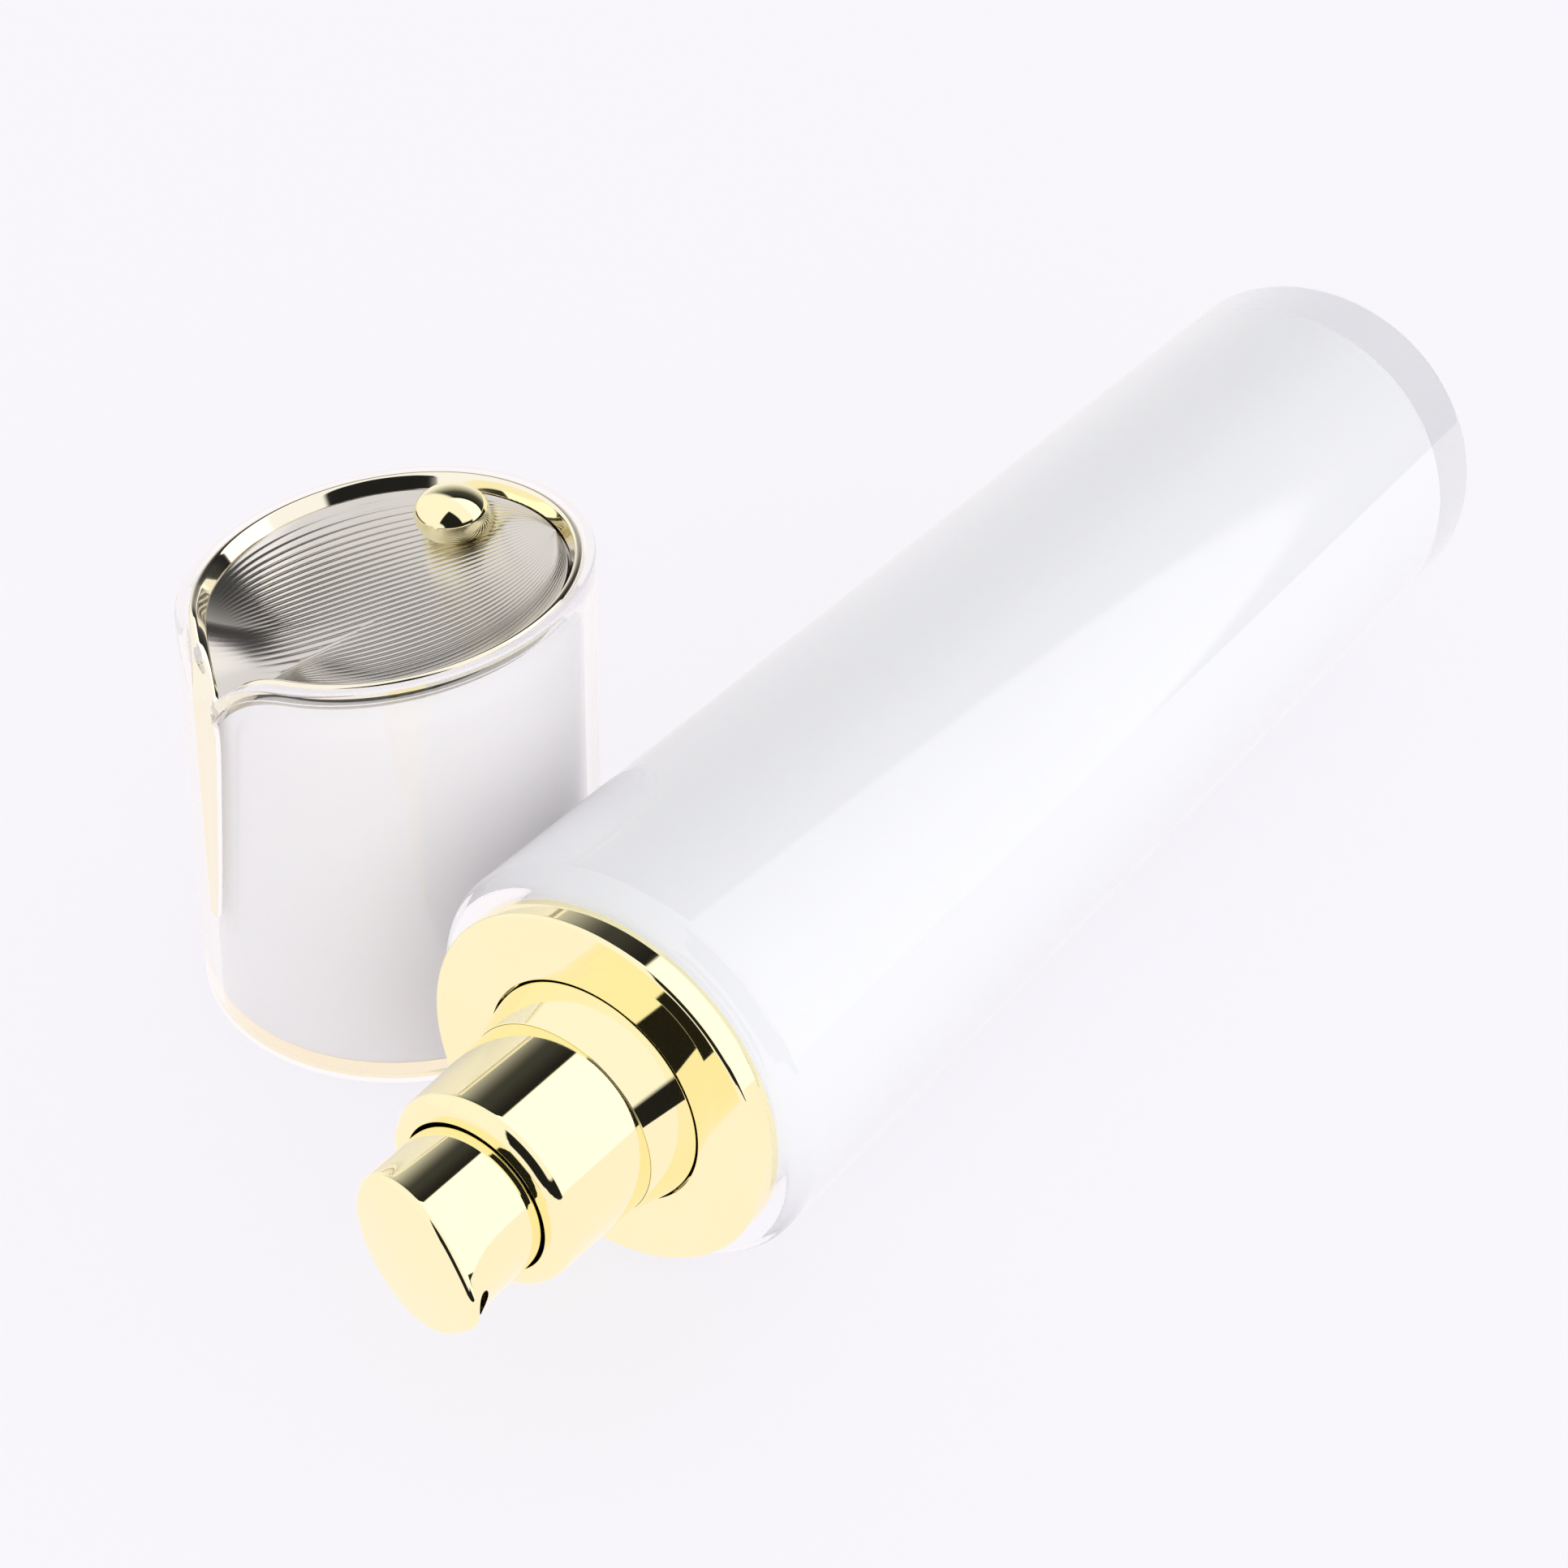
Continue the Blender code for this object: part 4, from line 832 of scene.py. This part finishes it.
# %% [markdown]
# The white liner behind the clear wall stops short of the lip and of the tail. Near both it steps back
# a little behind a soft round edge, which shows through the wall as a faint line. Its top dips with the
# rim on the tail's near side, and on the far side it slopes down towards the tail by itself.

# %% The white liner's outside
LINER, LINER_WALL, LINER_TOP = 15.85, 0.6, CAP_HEIGHT - 2.0
GAP, MOUTH_RING, OVER_RING = 0.3, 1.4, 0.05
LINER_FOOT = GAP + MOUTH_RING + OVER_RING
FAR_DROP, FAR_FROM, FAR_OVER = 3.2, math.radians(133), math.radians(22)
STEP_BACK, STEP_FROM_TAIL, STEP_FROM_TOP = 0.28, 1.9, 1.5
STEP_ROUND, STEP_STARTS, TIP_CLOSES = 1.2, 0.7, 0.6
top_radius = LINER - DRAFT * LINER_TOP


def liner_top(turn, radius):
    far = FAR_DROP * smooth((turn - FAR_FROM) / FAR_OVER) * (turn < TAIL_AT)
    return LINER_TOP + lean(*at(radius, turn)) - max(near_drop(turn), far)


def liner_ring(share):
    """A ring of the liner's outside, at a share of its height, stepped back near the lip and the tail."""
    ring = []
    for turn in turns(CAP_STEPS):
        lip_height = liner_top(turn, top_radius)
        height = LINER_FOOT + (lip_height - LINER_FOOT) * share
        off_tail = abs(math.remainder(turn - tail_turn(height), 2 * math.pi)) * LINER
        past_side = max(0.0, STEP_FROM_TAIL + tail_half(height) + STEP_ROUND - off_tail)
        past_top = max(0.0, height - (lip_height - STEP_FROM_TOP - STEP_ROUND))
        past = math.hypot(past_side, past_top)
        if height < TAIL_TIP:
            past = max(past_top, past_side - (TAIL_TIP - height) * TIP_CLOSES)
        out = LINER - DRAFT * height - STEP_BACK * smooth(past - STEP_STARTS)
        ring.append(on_cap(*at(out, turn), height))
    return ring


rings = [liner_ring(share) for share in shares(48)]
print("rings on the liner's outside:", len(rings))

# %% [markdown]
# Inside, the liner is a plain cup upside down: a thin wall up from the ring at the mouth, and a ceiling
# over the pump. The dish hides the ceiling, so its middle is left as a small hole, which lets the rings
# close. The ribbon, a little wider than before, cuts the tail's groove into the outside.

# %% The liner's inside and its groove
CEILING, CEILING_TOP, LIP_WIDTH, HOLE = 26.8, 28.0, 0.9, 2.0
lip_in = top_radius - LIP_WIDTH
rings.append([on_cap(*at(lip_in, turn), liner_top(turn, lip_in)) for turn in turns(CAP_STEPS)])
inside = [
    (lip_in, CEILING_TOP), (HOLE, CEILING_TOP), (HOLE, CEILING),
    (LINER - LINER_WALL - DRAFT * CEILING, CEILING), (LINER - LINER_WALL, LINER_FOOT),
]
rings += [cap_ring(radius, height, 0.0) for radius, height in inside]
liner = to_mesh("cap_liner_skin", rings, True, 30)
cut(liner, ribbon("groove", first=CORNER, wider=GAP, low=-1.4, high=3.0, across=3))
stands_for(liner, "cap_liner", WHITE)

# %% [markdown]
# The dish lies under the rim. Where the ribbon turns off towards the tail, the dish's edge follows it
# outwards and down, so that no gap opens between them.

# %% The dish's edge
BELOW_RIM, INSIDE_RIM = 1.2, 0.04
EDGE_STEPS, EDGE_EVERY, BESIDE, UNDER, UNDER_RIM = 54, 3, 0.03, 0.1, 1.1
BACK_UNDER_RIM = math.radians(173)
edge_radius = RIM - RIM_HALF - INSIDE_RIM


def plane(turn, radius):
    return CAP_HEIGHT - BELOW_RIM + lean(*at(radius, turn))


def under_rim(turn):
    return edge_radius, plane(turn, edge_radius) - near_drop(turn)


beside_tail = []
for place, aside, half, share in path[CORNER:CORNER + EDGE_STEPS:EDGE_EVERY]:
    inner = place - aside * half - Vector((0.0, 0.0, UNDER_RIM * (1 - share)))
    inner_radius = math.hypot(inner.x, inner.y)
    beside_tail.append((math.atan2(inner.y, inner.x), inner_radius - BESIDE, inner.z - UNDER))
print("the dish meets the tail", round(math.degrees(beside_tail[-1][0]), 1), "degrees round the cap")
beside_tail.append((BACK_UNDER_RIM, *under_rim(BACK_UNDER_RIM)))


def dish_edge(turn):
    """The dish's edge in one direction, as a radius and a height."""
    turn = turn % (2 * math.pi)
    for (a, ra, ha), (b, rb, hb) in zip(beside_tail, beside_tail[1:]):
        if a <= turn <= b:
            share = (turn - a) / (b - a)
            return ra + (rb - ra) * share, ha + (hb - ha) * share
    return under_rim(turn)


# %% [markdown]
# The dish is a shallow bowl with fine grooves that run like the veins of a leaf, from the tail to the
# far side. Laid out as meridians between those two points, the grooves close up at both ends by
# themselves. They are shallow there and deepest in the middle.

# %% The dish's grooves
DEPTH, FLATNESS, RIBS, RIB_HEIGHT, PER_RIB, ALONG = 2.45, 3.5, 40, 0.065, 8, 140
RIBS_TOWARDS = TAIL_AT - math.radians(11)
FADE_CURVE, PLAIN_FROM, PLAIN_OVER, OFF_POLE = 0.35, 0.8, 0.5, 0.02


def bowl(out):
    """The bowl's depth at a share of the way out to its edge."""
    return DEPTH * (1 - out**FLATNESS)


def dish_point(along, across, ridge):
    ribs_way = Vector((math.cos(RIBS_TOWARDS), math.sin(RIBS_TOWARDS)))
    flat = along * ribs_way + across * Vector((-ribs_way.y, ribs_way.x))
    out, turn = min(1.0, flat.length), math.atan2(flat.y, flat.x)
    radius, height = dish_edge(turn)
    dip = plane(turn, radius) - height
    near_tail = smooth((PLAIN_FROM - out * math.cos(turn - TAIL_AT)) / PLAIN_OVER)
    fade = max(0.0, 1 - out * out) ** FADE_CURVE * near_tail
    level = plane(turn, radius * out) - bowl(out) - dip * out**3
    return *at(radius * out, turn), level + ridge * RIB_HEIGHT * fade


count = RIBS * PER_RIB
rows = []
for i in range(ALONG + 1):
    turn = math.pi * (i + OFF_POLE) / (ALONG + 2 * OFF_POLE)
    row = []
    for j in range(count + 1):
        ridge = abs(math.sin(math.pi * j / PER_RIB)) * 2 - 1
        row.append(dish_point(math.cos(turn), math.sin(turn) * (2 * j / count - 1), ridge))
    rows.append(row)
print("dish grid:", len(rows), "by", len(rows[0]))

# %% [markdown]
# The bowl's edge is closed with a short flange and a floor, so that the dish is a solid piece.

# %% Close the dish
LIP_DOWN, FLANGE, SKIRT, BOTTOM, LEAST_SKIRT, DISH_WELD = 0.15, 0.5, 13.6, 4.0, 0.2, 0.002


def border(rows):
    return rows[0][::-1] + [row[0] for row in rows[1:-1]] + rows[-1] + [row[-1] for row in rows[-2:0:-1]]


def skirt_under(x, y, z):
    """The skirt's top and foot below a point of the edge."""
    turn = math.atan2(y, x)
    foot = min(plane(turn, SKIRT) - BOTTOM, z - FLANGE - LEAST_SKIRT)
    return (*at(SKIRT, turn), z - FLANGE), (*at(SKIRT, turn), foot)


lip = [(x, y, z - LIP_DOWN) for x, y, z in border(rows)]
skirt_top, skirt_foot = zip(*(skirt_under(*point) for point in border(rows)))
shape = bmesh.new()
grid = [[shape.verts.new(on_cap(*point)) for point in row] for row in rows]
for near, far in zip(grid, grid[1:]):
    for j in range(count):
        shape.faces.new((near[j], near[j + 1], far[j + 1], far[j]))
upper = border(grid)
for points in (lip, skirt_top, skirt_foot):
    lower = [shape.verts.new(on_cap(*point)) for point in points]
    join(shape, upper, lower)
    upper = lower
shape.faces.new(upper)
stands_for(welded("leaf_dish_skin", shape, DISH_WELD, 60), "leaf_dish", CHAMPAGNE)

# %% [markdown]
# A gold ring closes the liner at the cap's mouth. It shows through the clear wall as a pale line just
# above the table.

# %% The mouth ring
RING_FOOT = 0.05
ring_out, ring_top = LINER - DRAFT * MOUTH_RING, GAP + MOUTH_RING
mouth_ring = [
    (ring_out, ring_top), (ring_out, RING_FOOT), (ring_out - LINER_WALL, RING_FOOT),
    (ring_out - LINER_WALL, ring_top),
]
turned("cap_mouth_ring", mouth_ring, SOFT_GOLD, place=on_cap, radius=0.1)

# %% [markdown]
# The bead is a flattened ball on a short stud, sunk a little into the dish. Its mirror shows the whole
# studio, so it gets many faces.

# %% The bead
BEAD, BEAD_HALF, BEAD_AT, BEAD_IN, SINK, STUD, STUD_FOOT = 3.1, 2.3, math.radians(11), 0.37, 0.6, 0.9, 1.2
DISH_RADIUS = 13.97
bead_out = DISH_RADIUS - BEAD - BEAD_IN
bead_x, bead_y = at(bead_out, BEAD_AT)
bead_z = plane(BEAD_AT, bead_out) - bowl(bead_out / DISH_RADIUS) + BEAD_HALF - SINK


def bead_ring(radius, height, count=96):
    places = [at(radius, turn) for turn in turns(count)]
    return [on_cap(bead_x + across, bead_y + along, height) for across, along in places]


low = math.acos(STUD / BEAD)
rings = [bead_ring(STUD, bead_z - BEAD_HALF - STUD_FOOT)]
for share in shares(32):
    lift = -low + (math.pi / 2 + low) * share
    rings.append(bead_ring(BEAD * math.cos(lift), bead_z + BEAD_HALF * math.sin(lift)))
stands_for(to_mesh("dish_bead_skin", rings, False, 50), "dish_bead", GOLD)

# %% [markdown]
# The camera stands where the photograph was taken: beyond the pump's end, on the side away from the
# cap, looking down at about 38 degrees, and turned by a few degrees about its own line of sight.

# %% The camera
TARGET = Vector((-21.990, -15.755, 28.758)) * MM
STANDS = Vector((-162.83, -107.91, 158.45)) * MM
ROLL, LENS = math.radians(2.788), 63.95

forward = (TARGET - STANDS).normalized()
right = forward.cross(Vector((0, 0, 1))).normalized()
up = right.cross(forward)
rolled_right = right * math.cos(ROLL) + up * math.sin(ROLL)
rolled_up = up * math.cos(ROLL) - right * math.sin(ROLL)
lens = bpy.data.cameras.new("photograph")
lens.lens, lens.sensor_width, lens.clip_start, lens.clip_end = LENS, 36.0, 0.005, 20.0
camera = bpy.data.objects.new("photograph", lens)
aim = Matrix((rolled_right, rolled_up, -forward)).transposed().to_4x4()
camera.matrix_world = Matrix.Translation(STANDS) @ aim
bpy.context.scene.collection.objects.link(camera)
bpy.context.scene.camera = camera
print("camera", round((TARGET - STANDS).length, 4), "m from its target")

# %% [markdown]
# The floor and the background are a very pale, slightly cool white. To the camera and through glass the
# floor is for the most part a plain glow of that colour, so that the object's shadow stays faint. In
# mirrors it is all glow, and a little warmer. For the light that bounces off it, it is white card.

# %% The floor
BACKGROUND, CARD, MIRRORED_FLOOR = (0.965, 0.947, 0.991), (0.90, 0.885, 0.925), (1.0, 0.955, 0.965)
SHADOW_SHARE, FLOOR_HALF = 0.2, 2.5

paper = bpy.data.materials.new("floor_paper")
paper.use_nodes = True
paper.node_tree.nodes.clear()
graph = Socket(paper.node_tree)
card = graph.node("ShaderNodeBsdfDiffuse", {}, {"Color": (*CARD, 1.0)})
glow = graph.node("ShaderNodeEmission", {}, {"Color": (*BACKGROUND, 1.0), "Strength": 1.0})
mirror_glow = graph.node("ShaderNodeEmission", {}, {"Color": (*MIRRORED_FLOOR, 1.0), "Strength": 1.0})
diffuse_ray = graph.node("ShaderNodeLightPath").beside("Is Diffuse Ray")
glowing = (1 - diffuse_ray) * (1 - SHADOW_SHARE)
seen = graph.node("ShaderNodeMixShader", {}, {0: glowing, 1: card, 2: glow})
glossy_ray = diffuse_ray.beside("Is Glossy Ray")
seen = graph.node("ShaderNodeMixShader", {}, {0: glossy_ray, 1: seen, 2: mirror_glow})
graph.node("ShaderNodeOutputMaterial", {}, {"Surface": seen})
shape = bmesh.new()
bmesh.ops.create_grid(shape, x_segments=8, y_segments=8, size=FLOOR_HALF)
floor = as_object("floor", shape)
floor.data.materials.append(paper)
print("floor laid")

# %% [markdown]
# A mirror needs something to mirror. Beyond the bottle's foot the studio has a bright softbox, and
# along its edge a dark flag that fades away from it. Their seam is what draws the long dark edge in the
# gold. A black flag with a window in it stands on the camera's side. All of it is written into the
# world by direction, for reflections alone, and each soft edge is a pair of numbers between which it
# goes from nothing to full. The camera and the glass see the plain background, and everything matt is
# lit evenly from all round.

# %% The studio's flags and softbox
PALE, SOFTBOX, FLAG = 1.0, 1.3, 0.014
SEAM, SEAM_LEANS = (-0.012, 0.012), (0.60, 0.67, 0.44)
BOX_FROM, DARK_FROM = (0.27, 0.33), (0.28, 0.42)
DARK_FADES, FADES_AT_FIRST, AT_FIRST = (0.30, 1.0), (0.0, 0.3), 0.035
CAMERA_FLAG_ROUND, CAMERA_FLAG_FOOT = (93.0, 97.0), (-0.08, -0.03)
CAMERA_FLAG_LEFT, CAMERA_FLAG_RIGHT = (-0.97, -0.93), (0.20, 0.28)
WINDOW_LEFT, WINDOW_FOOT = (-0.33, -0.27), (0.32, 0.40)

world = bpy.data.worlds.new("studio")
bpy.context.scene.world = world
world.use_nodes = True
world.node_tree.nodes.clear()
graph = Socket(world.node_tree)
parts = graph.node("ShaderNodeSeparateXYZ", {}, {0: graph.node("ShaderNodeTexCoord", out=0)})
x, y, z = (parts.beside(axis) for axis in range(3))
round_x = graph.maths("ARCTAN2", z, y) * (180 / math.pi)

tilt = x * SEAM_LEANS[0] + y * SEAM_LEANS[1] - z * SEAM_LEANS[2]
dark_flag = tilt.rises(*SEAM) * x.rises(*DARK_FROM)
fades = tilt.falls(*DARK_FADES) - tilt.rises(*FADES_AT_FIRST) * AT_FIRST
box = tilt.falls(*SEAM) * x.rises(*BOX_FROM)
window = x.rises(*WINDOW_LEFT) * z.rises(*WINDOW_FOOT)
camera_flag = round_x.rises(*CAMERA_FLAG_ROUND) * z.rises(*CAMERA_FLAG_FOOT) * x.rises(*CAMERA_FLAG_LEFT)
camera_flag = camera_flag * x.falls(*CAMERA_FLAG_RIGHT) * (1 - window)
level = PALE - dark_flag * fades * (PALE - FLAG)
level = level + box * (SOFTBOX - PALE)
level = level * (1 - camera_flag * (1 - FLAG))
print("studio painted")

# %% [markdown]
# Which of the three worlds a ray meets depends on its kind. A ray that is thrown back inside the glass
# counts as the glass's own, and so it meets the plain background too.

# %% One world for each kind of ray
EVEN_LIGHT = 0.91
mirrored = graph.node("ShaderNodeBackground", {}, {"Color": (1.0, 0.985, 1.0, 1.0), "Strength": level})
plain = graph.node("ShaderNodeBackground", {}, {"Color": (*BACKGROUND, 1.0), "Strength": 1.0})
even = graph.node("ShaderNodeBackground", {}, {"Color": (1.0, 0.99, 1.0, 1.0), "Strength": EVEN_LIGHT})
is_camera = graph.node("ShaderNodeLightPath").beside("Is Camera Ray")
is_glossy = is_camera.beside("Is Glossy Ray")
in_glass = is_glossy * is_camera.beside("Transmission Depth").above(0.5)
plain_view = is_camera.larger(is_camera.beside("Is Transmission Ray")).larger(in_glass)
lit = graph.node("ShaderNodeMixShader", {}, {0: is_glossy, 1: even, 2: mirrored})
whole = graph.node("ShaderNodeMixShader", {}, {0: plain_view, 1: lit, 2: plain})
graph.node("ShaderNodeOutputWorld", {}, {"Surface": whole})
print("world made")

# %% [markdown]
# Two large soft lamps shape the matt surfaces. The stronger one stands behind the camera, a little to
# its right, and the weaker one far out on the right. They are hidden from mirrors, from glass and from
# the camera, which already see the studio.

# %% The lamps
def soft_lamp(name, place, watts, size=0.9):
    light = bpy.data.lights.new(name, "AREA")
    light.shape, light.size, light.energy = "DISK", size, watts
    lamp = bpy.data.objects.new(name, light)
    lamp.location = place
    lamp.rotation_euler = (TARGET - Vector(place)).to_track_quat("-Z", "Y").to_euler()
    lamp.visible_glossy = lamp.visible_transmission = lamp.visible_camera = False
    bpy.context.scene.collection.objects.link(lamp)


soft_lamp("front", (-0.80, -1.0, 0.40), watts=2.6)
soft_lamp("side", (0.35, -1.1, 0.35), watts=1.5)
bpy.context.scene.view_settings.view_transform = "Standard"
print("lamps placed")
